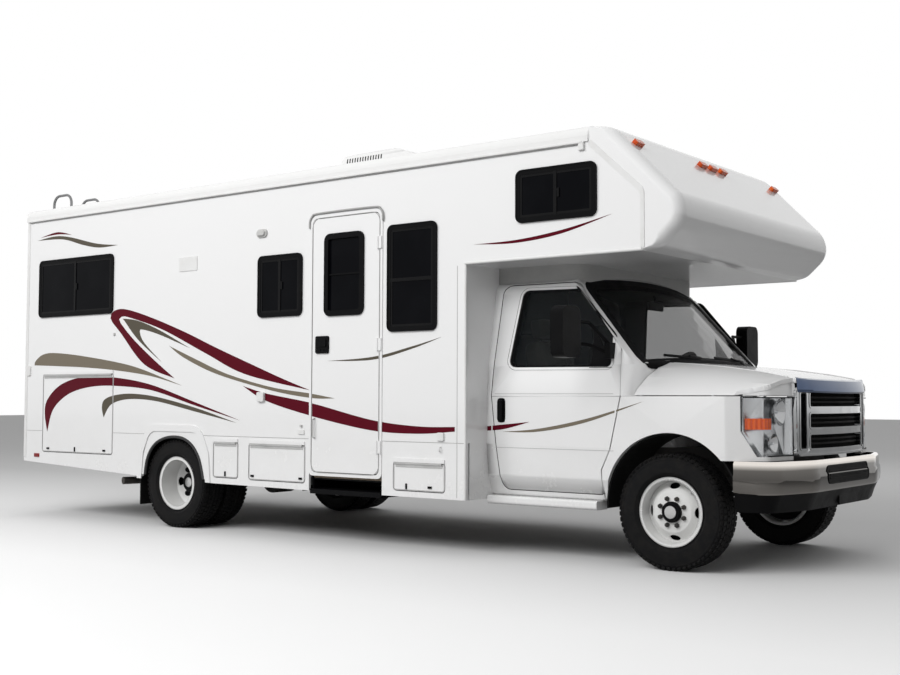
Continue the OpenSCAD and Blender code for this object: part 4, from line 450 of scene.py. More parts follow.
def grown(points, d):
    """Closed anticlockwise outline moved outwards by d."""
    out = []
    for i, p in enumerate(points):
        a, b = points[i - 1], points[(i + 1) % len(points)]
        dx, dz = b[0] - a[0], b[1] - a[1]
        size = math.hypot(dx, dz) or 1.0
        out.append((p[0] + dz / size * d, p[1] - dx / size * d))
    return out


def rows(x0, z0, x1, z1, r, n=9, m=24):
    """Lines across a rounded rectangle, from its lower edge to its upper edge."""
    out = []
    for k in range(n):
        z = z0 + (z1 - z0) * (1 - math.cos(math.pi * k / (n - 1))) / 2
        d = min(z - z0, z1 - z, r)
        cut = r - math.sqrt(max(r * r - (r - d) ** 2, 0.0))
        out.append([(x, z) for x in span(x0 + cut, x1 - cut, m)])
    return out


def strip(lines, closed=False):
    """A new sheet through several lines of the same number of points."""
    part = bmesh.new()
    chains = [[part.verts.new(p) for p in line] for line in lines]
    for a, b in zip(chains, chains[1:]):
        for i in range(0 if closed else 1, len(a)):
            part.faces.new((a[i - 1], a[i], b[i], b[i - 1]))
    bmesh.ops.remove_doubles(part, verts=part.verts, dist=SAME)
    bmesh.ops.recalc_face_normals(part, faces=part.faces)
    return part


def add_strip(bm, lines, thick):
    part = strip(lines)
    bmesh.ops.solidify(part, geom=part.faces[:], thickness=thick)
    merge(bm, part, Matrix())


def surface(*names):
    """CAD nodes' own faces, to lay things on."""
    faces = bmesh.new()
    for name in names:
        faces.from_mesh(nodes[name].data)
    tree = BVHTree.FromBMesh(faces)
    faces.free()
    return tree


def settle(part, way, ground, rise):
    """Drops a sheet along way on to ground, if there is one, then thickens it against way."""
    way = Vector(way)
    if ground:
        found = {v: ground.ray_cast(v.co, way)[0] for v in part.verts}
        depths = [hit.dot(way) for hit in found.values() if hit]
        mean = sum(depths) / max(len(depths), 1)
        for v, hit in found.items():
            v.co = hit or v.co + way * (mean - v.co.dot(way))
    thicken(part, part.faces[:], way * -rise)


def add_laid(bm, lines, way, ground, rise, closed=False):
    part = strip(lines, closed)
    settle(part, way, ground, rise)
    merge(bm, part, Matrix())


def add_rim(bm, outline, n, steps, ground, rise):
    """Band laid on ground from ahead, between two lines moved outwards from an outline y, z."""
    line = spaced(outline, n, True)
    add_laid(bm, [[(AHEAD, *p) for p in grown(line, d)] for d in steps], (-1, 0, 0), ground, rise, True)


def outline_of(name, facing):
    """Outer line of a CAD node seen along an axis, anticlockwise."""
    i, j = {"y": (0, 2), "x": (1, 2)}[facing]
    dots = sorted({(round(v.co[i], 5), round(v.co[j], 5)) for v in nodes[name].data.vertices})
    line = []
    for row in (dots, dots[::-1]):
        half = []
        for p in row:
            while len(half) > 1 and ((half[-1][0] - half[-2][0]) * (p[1] - half[-2][1])
                                     <= (half[-1][1] - half[-2][1]) * (p[0] - half[-2][0])):
                half.pop()
            half.append(p)
        line += half[:-1]
    return spaced(line, 160, True)


def outward(x, y, s, z=HUB_Z):
    """Place whose Z points away from the middle on side s."""
    return Matrix.Translation((x, y, z)) @ Vector((0, s, 0)).to_track_quat("Z", "Y").to_matrix().to_4x4()


def put_in_scene(name, data):
    obj = bpy.data.objects.new(name, data)
    bpy.context.scene.collection.objects.link(obj)
    return obj


def piece(name, bm, material, body="vehicle", stands_for=(), sharp=35, turn=True):
    """Makes a bmesh a finished piece that rides on a body."""
    mesh = bpy.data.meshes.new(name)
    if turn:
        bmesh.ops.recalc_face_normals(bm, faces=bm.faces)
    bm.to_mesh(mesh)
    bm.free()
    mesh.shade_smooth()
    mesh.set_sharp_from_angle(angle=math.radians(sharp))
    mesh.materials.append(material)
    obj = put_in_scene(name, mesh)
    level = obj.modifiers.new("level_faces", "WEIGHTED_NORMAL")
    level.keep_sharp = True
    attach(obj, body)
    if stands_for:
        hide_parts(*stands_for)
    return obj


def node_copy(name):
    """The CAD node's own mesh with its doubles merged."""
    bm = bmesh.new()
    bm.from_mesh(nodes[name].data)
    bmesh.ops.remove_doubles(bm, verts=bm.verts, dist=SAME)
    return bm


def dress(name, material, body="vehicle"):
    """Stands for a CAD node with the same shape, merged and shaded smooth."""
    bm = node_copy(name)
    if name in ("cabover_cap", "mirror_right", "mirror_left"):
        bmesh.ops.dissolve_limit(bm, angle_limit=math.radians(0.5), verts=bm.verts[:], edges=bm.edges[:])
    if name == "cabover_cap":
        for y in (-WALL, WALL):
            flat = [f for f in bm.faces if all(abs(v.co.y - y) < 1e-4 for v in f.verts)]
            bmesh.ops.dissolve_faces(bm, faces=flat)
    piece(name + "_skin", bm, material, body, (name,), NODE_SHARP, False)


# CAD nodes that keep their own mesh
for material, names in (
    (under, "chassis_frame front_axle rear_axle exhaust fuel_tank"),
    (cast, "powertrain knuckle_right knuckle_left"),
    (floor_board, "coach_floor"),
    (liner, "storage_boxes"),
    (soft_black, "wheel_wells"),
    (black, "entry_step rear_bumper"),
    (grey_dash, "dashboard"),
    (gasket_and_shade, "window_frames"),
    (dark_glass, "window_glass entry_door_glass"),
    (white, "coach_wall_right coach_wall_left coach_rear_wall coach_front_panels coach_skirts cabover_floor "
            "running_boards entry_door_frame entry_door hatch_rear_right hatch_small_right hatch_mid_right "
            "hatch_front_right hatch_rear_left"),
):
    for name in names.split():
        nodes[name].data.materials.clear()
        nodes[name].data.materials.append(material)

# CAD nodes that only need smooth shading, up to this angle in degrees
NODE_SHARP = 32
for name, material in (
    ("coach_roof", roof_white), ("cabover_cap", white), ("front_fenders", white), ("windscreen", cab_glass),
    ("front_bumper", bumper_painted_reflection), ("bumper_valance", black), ("grille", chrome),
    ("rear_ladder", ladder_metal), ("marker_lamps", amber), ("tail_lamps", red),
):
    dress(name, material)
dress("roof_units", roof_white)
dress("bonnet", white, "bonnet")
for side in ("right", "left"):
    dress("cab_door_glass_" + side, side_glass, "cab_door_" + side)
    dress("mirror_" + side, black, "cab_door_" + side)
    for node in ("front_wheel_" + side, "rear_wheels_" + side):
        dress(node, wheel_white, node)

# Cab shell and doors: paint outside, dark trim on the faces that look at the cab's middle
CAB_MIDDLE = Vector((2.05, 0, 1.3))
for name in ("cab_shell", "cab_door_right", "cab_door_left"):
    body = "vehicle" if name == "cab_shell" else name
    for end, material, inner in (("skin", white, False), ("lining", cab_trim, True)):
        bm = node_copy(name)
        bm.normal_update()
        drop = []
        for f in bm.faces:
            to_middle = CAB_MIDDLE - f.calc_center_median()
            if (f.normal.dot(to_middle.normalized()) > 0.12) != inner:
                drop.append(f)
        bmesh.ops.delete(bm, geom=drop, context="FACES")
        piece(f"{name}_{end}", bm, material, body, (name,), NODE_SHARP, False)

# Coloured swooshes on the sides: film, upper edge and lower edge from tip to tip, as x, z
SWOOSHES = (
    (burgundy, ((-3.449, 2.583), (-3.185, 2.615), (-2.964, 2.574)),
     ((-3.449, 2.583), (-3.184, 2.594), (-2.964, 2.574))),
    (slate, ((-3.497, 2.558), (-3.215, 2.579), (-2.979, 2.551), (-2.597, 2.466), (-2.289, 2.43)),
     ((-3.497, 2.558), (-3.103, 2.542), (-2.792, 2.467), (-2.551, 2.426), (-2.289, 2.43))),
    (burgundy, ((-1.5, 1.246), (-1.901, 1.37), (-2.219, 1.641), (-2.359, 1.76), (-2.37, 1.818),
                (-2.286, 1.857), (-2.134, 1.85), (-1.809, 1.768), (-1.384, 1.634), (-0.98, 1.489),
                (-0.596, 1.359), (-0.229, 1.236), (0.075, 1.143)),
     ((-1.5, 1.246), (-1.627, 1.32), (-1.801, 1.424), (-2.038, 1.579), (-2.221, 1.726), (-2.253, 1.775),
      (-2.208, 1.793), (-2.103, 1.779), (-1.664, 1.661), (-1.111, 1.447), (-0.644, 1.273), (0.075, 1.143))),
    (slate, ((-1.671, 1.385), (-1.979, 1.577), (-2.177, 1.753), (-2.192, 1.773), (-1.983, 1.746),
             (-1.692, 1.653), (-1.313, 1.496)),
     ((-1.671, 1.385), (-1.905, 1.556), (-1.966, 1.652), (-1.923, 1.669), (-1.691, 1.616), (-1.313, 1.496))),
    (taupe, ((-1.576, 1.521), (-1.244, 1.405), (-0.847, 1.275), (-0.348, 1.169), (0.087, 1.118),
             (0.337, 1.082)),
     ((-1.576, 1.521), (-1.38, 1.416), (-0.976, 1.277), (-0.347, 1.143), (0.087, 1.085), (0.337, 1.082))),
    (burgundy, ((-0.667, 1.179), (-0.395, 1.118), (0.1, 1.045), (0.7, 0.926), (1.131, 0.886),
                (1.462, 0.887)),
     ((-0.667, 1.179), (-0.394, 1.059), (0.1, 0.947), (0.7, 0.85), (1.132, 0.834), (1.462, 0.855))),
    (taupe, ((-3.506, 1.383), (-3.49, 1.424), (-3.372, 1.482), (-3.169, 1.492), (-2.71, 1.45),
             (-2.092, 1.363), (-1.626, 1.246), (-1.407, 1.185)),
     ((-3.506, 1.383), (-3.198, 1.373), (-2.707, 1.352), (-2.24, 1.318), (-1.797, 1.266), (-1.407, 1.185))),
    (burgundy, ((-3.286, 0.768), (-3.329, 0.928), (-3.305, 1.048), (-3.158, 1.168), (-2.962, 1.237),
                (-2.704, 1.268), (-2.269, 1.257), (-1.795, 1.192), (-1.236, 1.047), (-0.7, 0.905)),
     ((-3.286, 0.768), (-3.218, 0.949), (-3.088, 1.059), (-2.893, 1.138), (-2.607, 1.182), (-2.267, 1.185),
      (-1.794, 1.146), (-1.236, 1.02), (-0.7, 0.905))),
    (slate, ((-2.449, 0.908), (-2.476, 0.994), (-2.447, 1.061), (-2.325, 1.099), (-2.085, 1.118),
             (-1.735, 1.091), (-1.235, 1.002), (-0.738, 0.884)),
     ((-2.449, 0.908), (-2.384, 0.994), (-2.293, 1.042), (-2.084, 1.071), (-1.734, 1.054), (-1.235, 0.97),
      (-0.738, 0.884))),
    (slate, ((0.259, 1.363), (0.71, 1.386), (1.08, 1.455), (1.34, 1.513)),
     ((0.259, 1.363), (0.71, 1.365), (1.08, 1.438), (1.34, 1.513))),
    (burgundy, ((1.624, 2.143), (1.975, 2.148), (2.339, 2.187), (2.711, 2.258)),
     ((1.624, 2.143), (1.975, 2.128), (2.339, 2.164), (2.711, 2.258))),
)
CAB_SWOOSHES = (
    (burgundy, ((1.5, 0.884), (1.7, 0.904), (1.92, 0.925)), ((1.5, 0.856), (1.7, 0.872), (1.92, 0.925))),
    (taupe, ((1.691, 0.854), (1.992, 0.88), (2.374, 0.953), (2.798, 1.069)),
     ((1.691, 0.854), (1.992, 0.86), (2.374, 0.93), (2.798, 1.069))),
)
# Beyond any piece
FAR = 9.0
# Parts of the wall that carry films, around the hatch and the entry door: x0, z0, x1, z1
WALL_FIELDS = (
    (-FAR, 0, -3.367, FAR), (-3.367, 1.302, -2.313, FAR), (-3.367, 0, -2.313, 0.578), (-2.313, 0, 0.07, FAR),
    (0.8, 0, FAR, FAR),
)


def add_film(bm, edges, field, y, ground=None):
    """Film between two edges, cut to a field x0, z0, x1, z1, on the plane y or laid from there on ground."""
    part = strip([[(x, y, z) for x, z in spaced(curve(e, 10), 81)] for e in edges])
    x0, z0, x1, z1 = field
    for place, way in (((x0, 0, 0), (-1, 0, 0)), ((x1, 0, 0), (1, 0, 0)), ((0, 0, z0), (0, 0, -1)),
                       ((0, 0, z1), (0, 0, 1))):
        bmesh.ops.bisect_plane(part, geom=part.verts[:] + part.edges[:] + part.faces[:], dist=1e-6,
                               plane_co=place, plane_no=way, clear_outer=True)
    if part.faces:
        settle(part, (0, -math.copysign(1, y), 0), ground, SKIN)
        merge(bm, part, Matrix())
    else:
        part.free()


for s, side in both_sides:
    cab = surface("cab_door_" + side, "front_fenders", "cab_shell")
    wall_fields = WALL_FIELDS if s < 0 else WALL_FIELDS[:3] + ((-2.313, 0, FAR, FAR),)
    places = [
        ("wall", "vehicle", SWOOSHES, wall_fields, WALL, None),
        ("hatch", "hatch_rear_" + side, SWOOSHES, ((-3.358, 0.587, -2.322, 1.293),), WALL, None),
        ("cab_door", "cab_door_" + side, CAB_SWOOSHES, ((1.608, 0, 2.585, FAR),), ASIDE, cab),
        ("cab_post", "vehicle", CAB_SWOOSHES, ((2.597, 0, FAR, FAR), (1.562, 0, 1.597, FAR)), ASIDE, cab),
    ]
    if s < 0:
        places.append(("door", "entry_door", SWOOSHES, ((0.104, 0.533, 0.766, 2.443),), 1.256, None))
    for place, body, shapes, fields, y, ground in places:
        for film in (burgundy, taupe, slate):
            bm = bmesh.new()
            for material, *edges in shapes:
                for field in fields if material is film else ():
                    add_film(bm, edges, field, s * y, ground)
            if bm.faces:
                piece(f"{film.name}_{place}_{side}", bm, film, body)
            else:
                bm.free()

# Side windows: black inner frame, sliding sash bars and a lip that throws a fine highlight
RIGHT_PANES = ((-3.44, 1.83, -2.34, 2.355, "v"), (-0.497, 1.72, -0.017, 2.2, "v"),
               (0.85, 1.567, 1.3, 2.335, "h"), (1.98, 2.26, 2.6, 2.61, "v"))
LEFT_PANES = ((-3.44, 1.83, -2.34, 2.355, "v"), (-0.39, 1.65, 0.86, 2.25, "v"), (1.98, 2.26, 2.6, 2.61, "v"))
# How far the panes stand out
PANE = 1.2562
for s, side in both_sides:
    bars = bmesh.new()
    lips = bmesh.new()
    for *box, split in RIGHT_PANES if s < 0 else LEFT_PANES:
        x0, z0, x1, z1 = box
        add_frame(bars, box, 0.03, 0.048, 0.045, s * PANE, s * 1.2595)
        add_frame(lips, box, -0.004, 0.008, 0.045, s * WALL, s * 1.2645)
        if split == "v":
            x, z = (x0 + x1) / 2, (z0 + z1) / 2
            slab(bars, s, x - 0.013, z0 + 0.03, x + 0.013, z1 - 0.03, PANE, 1.2625, 0.002)
            slab(bars, s, x + 0.016, z - 0.03, x + 0.034, z + 0.03, PANE, 1.266, 0.004)
        else:
            z = z0 + (z1 - z0) * 0.48
            slab(bars, s, x0 + 0.03, z - 0.013, x1 - 0.03, z + 0.013, PANE, 1.2625, 0.002)
    piece("window_sashes_" + side, bars, sash_black)
    piece("window_lips_" + side, lips, gasket_and_shade)

# Grille: dark mesh and slats behind the openings, bright rims, and a bright lip on the bonnet's edge
BOW_R = 2.7103
NOSE = 3.7273
GRILLE_ROWS = ((0.774, 0.861), (0.907, 0.993), (1.039, 1.126))


def bow_x(y):
    return NOSE - BOW_R + math.sqrt(BOW_R ** 2 - y * y)


bm = bmesh.new()
back = [[(bow_x(y) - 0.05, y, z) for y in span(-0.59, 0.59, 31)] for z in (0.76, 0.95, 1.14)]
add_strip(bm, back, 0.004)
for z0, z1 in GRILLE_ROWS:
    for share in (0.33, 0.67):
        z = z0 + (z1 - z0) * share
        add_rod(bm, [(bow_x(y) - 0.034, y, z) for y in span(-0.456, 0.456, 25)], 0.004, 8, 0.007)
for y in span(-0.44, 0.44, 45):
    add_box(bm, (bow_x(y) - 0.046, y - 0.0015, 0.77), (bow_x(y) - 0.038, y + 0.0015, 1.13))
piece("grille_mesh", bm, soft_black)
bm = bmesh.new()
ground = surface("grille")
sides = [(-0.566, 0.774, -0.504, 1.126), (0.504, 0.774, 0.566, 1.126)]
for hole in [(-0.458, z0, 0.458, z1) for z0, z1 in GRILLE_ROWS] + sides:
    add_rim(bm, oblong(*hole, 0.0115), 160, (0.013, 0.0015), ground, 0.004)
add_rim(bm, oblong(-0.612, 0.728, 0.612, 1.172, 0.046), 220, (-0.002, -0.014), ground, 0.006)
piece("grille_rims", bm, chrome)
bm = bmesh.new()
BROW = ((0.008, 1.12), (0.024, 1.124), (0.031, 1.134), (0.03, 1.146), (0.022, 1.168), (0.012, 1.188),
        (0.004, 1.203), (-0.012, 1.211), (-0.04, 1.216))
add_strip(bm, [[(bow_x(y) + d * (1 - abs(y / 0.62) ** 8), y, z + 0.022 * y * y)
                for y in span(-0.606, 0.606, 41)] for d, z in BROW], 0.003)
piece("bonnet_brow", bm, brow_metal, "bonnet")
bm = bmesh.new()
ground = surface("bonnet")
for s in (-1, 1):
    line = [(x, s * (0.6 - 0.03 * (3.6 - x)), 3) for x in span(2.8, 3.6, 33)]
    add_laid(bm, [[(x, y + d, z) for x, y, z in line] for d in (-0.008, 0.008)], (0, 0, -1), ground, 0.004)
piece("bonnet_creases", bm, white, "bonnet")


# Headlamps: clear cover, reflector behind it, bowls with bulbs, amber block, dark gasket
def lamp_faces(outer):
    """Front sheet of the headlamp nodes, or the rest of them turned to face it."""
    bm = node_copy("headlamps")
    bm.normal_update()
    drop = []
    for f in bm.faces:
        at = f.calc_center_median()
        away = Vector((at.x - 3.3, at.y - math.copysign(0.58, at.y), 0)).normalized()
        front = abs(f.normal.z) < 0.5 and f.normal.dot(away) > 0.3 and abs(f.normal.y) < 0.999
        if front != outer:
            drop.append(f)
    bmesh.ops.delete(bm, geom=drop, context="FACES")
    if not outer:
        bmesh.ops.reverse_faces(bm, faces=bm.faces[:])
    return bm


piece("headlamp_covers", lamp_faces(True), clear_lens, stands_for=("headlamps",), turn=False)
piece("headlamp_shells", lamp_faces(False), reflector, stands_for=("headlamps",), turn=False)
bowls = bmesh.new()
bulbs = bmesh.new()
blocks = bmesh.new()
gaskets = bmesh.new()
noses = bmesh.new()
hood = surface("bonnet")
ground = surface("headlamps")
LAMP_TOP = 1.1065
DISH = ((0, -0.02), (0.028, -0.017), (0.052, -0.004), (0.07, 0.018), (0.073, 0.018), (0.055, -0.008),
        (0.03, -0.021), (0, -0.024))
for s, side in both_sides:

    def on_lamp(angle, z, deep):
        """Point on the lamp's front at an angle from ahead round to the side, moved inwards."""
        way = Vector((math.cos(math.radians(angle)), s * math.sin(math.radians(angle)), 0))
        mid = Vector((3.35, s * 0.6, z))
        hit = ground.ray_cast(mid + way, -way)[0]
        return (hit or mid + way * 0.3) - way * deep

    for y, z, size in ((0.728, 1.005, 1.18), (0.79, 0.812, 0.86)):
        at = Vector((on_lamp(27 if z > 1 else 36, z, 0).x - 0.036, s * y, z))
        place = along(at - Vector((0.01, 0, 0)), at + Vector((0.01, 0, 0)))
        add_turned(bowls, [(r * size, h * size) for r, h in DISH], place, 40)
        add_turned(bulbs, [(0, 0.012), (0.007, 0.01), (0.01, 0), (0.01, -0.02), (0, -0.02)], place, 16)
    block = [[on_lamp(a, z, 0.01) for a in span(45, 72, 12)] for z in span(0.898, 0.966, 4)]
    add_strip(blocks, block, 0.004)
    closing = []
    for a in span(1, 76, 31):
        at = on_lamp(a, 1.09, 0.0)
        hit = hood.ray_cast(Vector((at.x - 0.006, at.y - s * 0.004, 2)), (0, 0, -1))[0]
        closing.append((at.x - 0.001, at.y, hit.z - 0.002 if hit else 1.112))
    add_strip(noses, [[(x - 0.01 * t * t, y - s * 0.004 * t * t, LAMP_TOP + (z - LAMP_TOP) * t)
                       for x, y, z in closing] for t in (0, 0.25, 0.5, 0.75, 1)], 0.003)
    top = [on_lamp(a, 1.0955, -0.0005) for a in span(3, 73, 18)]
    low = [on_lamp(a, 0.7355, -0.0005) for a in span(3, 50, 14)]
    flank = [(3.4415, top[-1].y, z) for z in span(1.095, 0.888, 8)]
    inside = [(low[0].x, s * 0.6145, z) for z in span(1.095, 0.736, 8)]
    for path in (top, low, flank, inside):
        add_rod(gaskets, path, 0.0035, 8)
piece("headlamp_bowls", bowls, chrome)
piece("headlamp_bulbs", bulbs, mirror_glass)
piece("headlamp_amber", blocks, amber)
piece("bonnet_corners", noses, white, "bonnet")
piece("headlamp_gaskets", gaskets, gasket_and_shade)

# Bumper: dark intake with slats, blank plate holder
INTAKE = (-0.37, 0.556, 0.37, 0.66, 0.03)
bm = bmesh.new()
ground = surface("front_bumper")
add_laid(bm, [[(AHEAD, *p) for p in row] for row in rows(*INTAKE, 9, 49)], (-1, 0, 0), ground, 0.002)
for z in (0.585, 0.608, 0.631):
    slat = [[(AHEAD, y, z + d) for y in span(-0.35, 0.35, 49)] for d in (-0.004, 0.004)]
    add_laid(bm, slat, (-1, 0, 0), ground, 0.008)
piece("bumper_intake", bm, soft_black)
bm = bmesh.new()
add_rim(bm, oblong(*INTAKE), 160, (0.008, -0.001), ground, 0.005)
piece("bumper_intake_rim", bm, black)
bm = bmesh.new()
front = surface("bumper_valance").ray_cast(Vector((AHEAD, 0.08, 0.45)), (-1, 0, 0))[0].x
add_plate(bm, oblong(-0.09, 0.402, 0.25, 0.535, 0.012), "x", front - 0.004, front + 0.008, 0.003)
for y in (-0.05, 0.21):
    add_drum(bm, (front + 0.008, y, 0.515), (front + 0.011, y, 0.515), 0.007, 0.006, 12)
piece("plate_holder", bm, black)

# Wheels: tyres with blocks and lugs, nuts, hub covers, rim beads and valves
TYRE_HALF = ((0.3685, 0), (0.3685, 0.011), (0.361, 0.013), (0.361, 0.093), (0.352, 0.1),
             (0.34, 0.105), (0.3385, 0.108), (0.33, 0.109), (0.3285, 0.1075), (0.3, 0.1105),
             (0.285, 0.111), (0.264, 0.11), (0.262, 0.111), (0.25, 0.1095), (0.248, 0.1075),
             (0.235, 0.096), (0.2255, 0.087), (0.2225, 0.083), (0.2225, 0))
NUTS = 8
BLOCKS = 60
HAND_HOLES = 4


def add_tyre(bm, x, y):
    mid = Matrix.Translation((x, y, HUB_Z))
    rim = [*TYRE_HALF, *((r, -u) for r, u in TYRE_HALF[-2:0:-1])]
    add_turned(bm, rim, along((x, y - 1, HUB_Z), (x, y + 1, HUB_Z)), 96, True)
    for u, wide, tall, long, r, tilt, shift in (
        (0.0325, 0.031, 0.012, 0.03, 0.3625, 0, 0), (0.0735, 0.037, 0.012, 0.03, 0.362, 0, 0.5),
        (0.0985, 0.012, 0.03, 0.022, 0.348, 38, 0.5),
    ):
        for s in (-1, 1):
            for k in range(BLOCKS):
                turned = Matrix.Rotation(math.tau * (k + shift + 0.25 * s) / BLOCKS, 4, "Y")
                lean = Matrix.Rotation(math.radians(-tilt * s), 4, "X")
                place = mid @ turned @ Matrix.Translation((0, s * u, r)) @ lean
                bmesh.ops.create_cube(bm, size=1, matrix=place @ Matrix.Diagonal((long, wide, tall, 1)))


def circle(n):
    return [(math.cos(math.tau * i / n), math.sin(math.tau * i / n)) for i in range(n)]


for s, side in both_sides:
    # hub and wide: the hub's length and radius; deep: how far the dark disc lies behind the holes
    for end, plural, x, mids, hub, wide, deep in (
        ("front", "", AXLE, (0.882,), 0.0255, 0.0665, 0.0885),
        ("rear", "s", REAR_AXLE, (0.8525, 1.1175), 0.0845, 0.079, 0.03),
    ):
        node = f"{end}_wheel{plural}_{side}"
        tyre = f"{end}_tyre{plural}_{side}"
        ground = surface(node)

        def face(r, angle):
            at = Vector((x + r * math.cos(angle), s * ASIDE, HUB_Z + r * math.sin(angle)))
            return ground.ray_cast(at, (0, -s, 0))[0]

        bm = bmesh.new()
        for y in mids:
            add_tyre(bm, x, s * y)
        piece(tyre + "_worn", bm, rubber, node, (tyre,))
        bm = bmesh.new()
        for k in range(NUTS):
            at = face(wide + 0.023, math.tau * (k + 0.5) / NUTS)
            out = Vector((0, s, 0))
            add_drum(bm, at, at + out * 0.018, 0.0155, 0.0145, 6)
            add_drum(bm, at + out * 0.018, at + out * 0.026, 0.0115, 0.006, 12)
        piece(f"{end}_nuts_{side}", bm, under, node)
        base = outward(x, face(0.105, 0.2).y, s)
        bm = bmesh.new()
        add_turned(bm, [(0.045, 0), (wide, 0), (wide, hub - 0.006), (wide - 0.007, hub + 0.003),
                        (0.046, hub + 0.004), (0.043, hub + 0.002), (0.043, 0)], base, 40)
        disc = [(0.06, -deep), (0.186, -deep), (0.186, -deep - 0.012), (0.06, -deep - 0.012)]
        add_turned(bm, disc, base, 48, True)
        for k in range(HAND_HOLES if end == "rear" else 0):
            turned = Matrix.Rotation(math.tau * (k + 0.5) / HAND_HOLES, 3, "Y")
            mid = Vector((x, s * ASIDE, HUB_Z)) + turned @ Vector((0.138, 0, 0))
            add_laid(bm, [[mid + turned @ Vector((0.021 * a * g, 0, 0.03 * b * g)) for a, b in circle(28)]
                          for g in (1, 0.75, 0.5, 0.25, 0.02)], (0, -s, 0), ground, 0.001, True)
        piece(f"{end}_hub_cover_{side}", bm, gasket_and_shade, node)
        bm = bmesh.new()
        dome = [(0.0425, hub), (0.04, hub + 0.007), (0.022, hub + 0.01), (0, hub + 0.0105)]
        add_turned(bm, dome, base, 32)
        bead = [(0.2195 + 0.0036 * a, 0.0036 * b) for a, b in circle(8)]
        add_turned(bm, bead, outward(x, s * (max(mids) + 0.0925), s), 72, True)
        at = face(0.165, 0.78)
        add_rod(bm, [at + Vector((0, -0.004 * s, 0)), at + Vector((0.004, 0.012 * s, 0.004)),
                     at + Vector((0.01, 0.03 * s, 0.01))], 0.004, 8)
        piece(f"{end}_hub_centre_{side}", bm, satin, node)

# Cab: glass borders, sails, wipers, handles, mirror glass and seats
screen = surface("windscreen")
bm = bmesh.new()
rim = outline_of("windscreen", "x")
frame_of = surface("windscreen", "cab_shell")
steps = (0.034, 0.022, 0.014, 0.009, 0.006, 0.003, 0.0005, -0.002, -0.006, -0.026)
# The outer line lies 48 mm beyond the glass, so a dark band covers the cab round it: partly the glass's dark
# top edge, partly painted shade under the coach's overhang.
lines = [[(y, max(z, 1.318)) for y, z in grown(rim, 0.048)]] + [grown(rim, d) for d in steps]
add_laid(bm, [[(AHEAD, *p) for p in line] for line in lines], (-1, 0, 0), frame_of, 0.003, True)
sill = [[] for _ in range(4)]
for y in span(-0.83, 0.83, 61):
    at = frame_of.ray_cast(Vector((AHEAD, y, 1.3)), (-1, 0, 0))[0]
    sill[0].append((at.x + 0.0035, y, 1.316))
    for line, back in zip(sill[1:], (0.0005, 0.01, 0.026)):
        top = frame_of.ray_cast(Vector((at.x - back, y, 2)), (0, 0, -1))[0]
        line.append((at.x - back + (0.004 if back < 0.001 else 0), y, top.z + 0.0035))
add_strip(bm, sill, 0.002)
piece("windscreen_border", bm, gasket_and_shade)


def on_screen(y, z, off):
    hit, normal = screen.ray_cast(Vector((AHEAD, y, z)), (-1, 0, 0))[:2]
    if not hit:
        hit, normal = screen.find_nearest(Vector((2.8, y, z)))[:2]
    return hit + normal * off


bm = bmesh.new()
for y0, y1 in ((0.04, 0.6), (-0.62, -0.06)):
    blade = [on_screen(y0 + (y1 - y0) * t, 1.372 - 0.016 * t, 0.01) for t in span(0, 1, 12)]
    add_rod(bm, blade, 0.0045, 8, 0.009)
    mid = on_screen((y0 + y1) / 2, 1.367, 0.02)
    foot = on_screen(y1 + 0.02, 1.33, 0.018)
    add_rod(bm, [foot, (mid + foot) / 2 + Vector((0.01, 0, 0.01)), mid], 0.006, 8)
    add_drum(bm, foot - Vector((0.012, 0, 0.012)), foot + Vector((0.01, 0, 0.01)), 0.016, 0.012, 16)
piece("wipers", bm, black)
bm = bmesh.new()
top = on_screen(0, 1.8, -0.055)
add_box(bm, top - Vector((0.014, 0.115, 0.034)), top + Vector((0.01, 0.115, 0.034)), 0.01, 3)
add_rod(bm, [top + Vector((0.006, 0, 0.02)), on_screen(0, 1.845, -0.012)], 0.006, 8)
piece("cabin_mirror", bm, black)

for s, side in both_sides:
    body = "cab_door_" + side
    skin = surface(body, "cab_door_glass_" + side)

    def lay(bm, lines, rise, closed=False):
        """Lays lines x, z on the door from the side."""
        add_laid(bm, [[(x, s * ASIDE, z) for x, z in line] for line in lines], (0, -s, 0), skin, rise, closed)

    rim = outline_of("cab_door_glass_" + side, "y")
    bm = bmesh.new()
    lay(bm, [grown(rim, d) for d in (0.02, -0.012)], 0.0015, True)
    sail = [[(x, z) for x in span(2.385, 2.552 - (z - 1.295) * 0.6, 9)] for z in span(1.29, 1.555, 9)]
    lay(bm, sail, 0.003)
    piece("cab_glass_border_" + side, bm, gasket_and_shade, body)
    bm = bmesh.new()
    lay(bm, rows(1.648, 0.918, 1.716, 1.088, 0.02), 0.002)
    y = abs(skin.ray_cast(Vector((1.68, s * ASIDE, 1.0)), (0, -s, 0))[0].y)
    slab(bm, s, 1.662, 0.932, 1.702, 1.074, y + 0.006, y + 0.03, 0.01, 3)
    for z in (0.94, 1.044):
        slab(bm, s, 1.668, z, 1.696, z + 0.022, y, y + 0.01, 0.003)
    piece("cab_handle_" + side, bm, black, body)
    bm = bmesh.new()
    # Grey lines along the door's two creases: painted shadow
    for z in (0.745, 1.118):
        lay(bm, [[(x, z + d) for x in span(1.625, 2.575, 41)] for d in (-0.002, 0.002)], 0.001)
    piece("cab_door_creases_" + side, bm, crease_shadow_grey, body)
    bm = bmesh.new()
    y0, y1 = sorted((s * 1.297, s * 1.473))
    for z0, z1 in ((1.455, 1.66), (1.36, 1.44)):
        add_plate(bm, oblong(y0, z0, y1, z1, 0.03), "x", 2.4035, 2.4, 0.001)
    piece("mirror_panes_" + side, bm, mirror_glass, body)


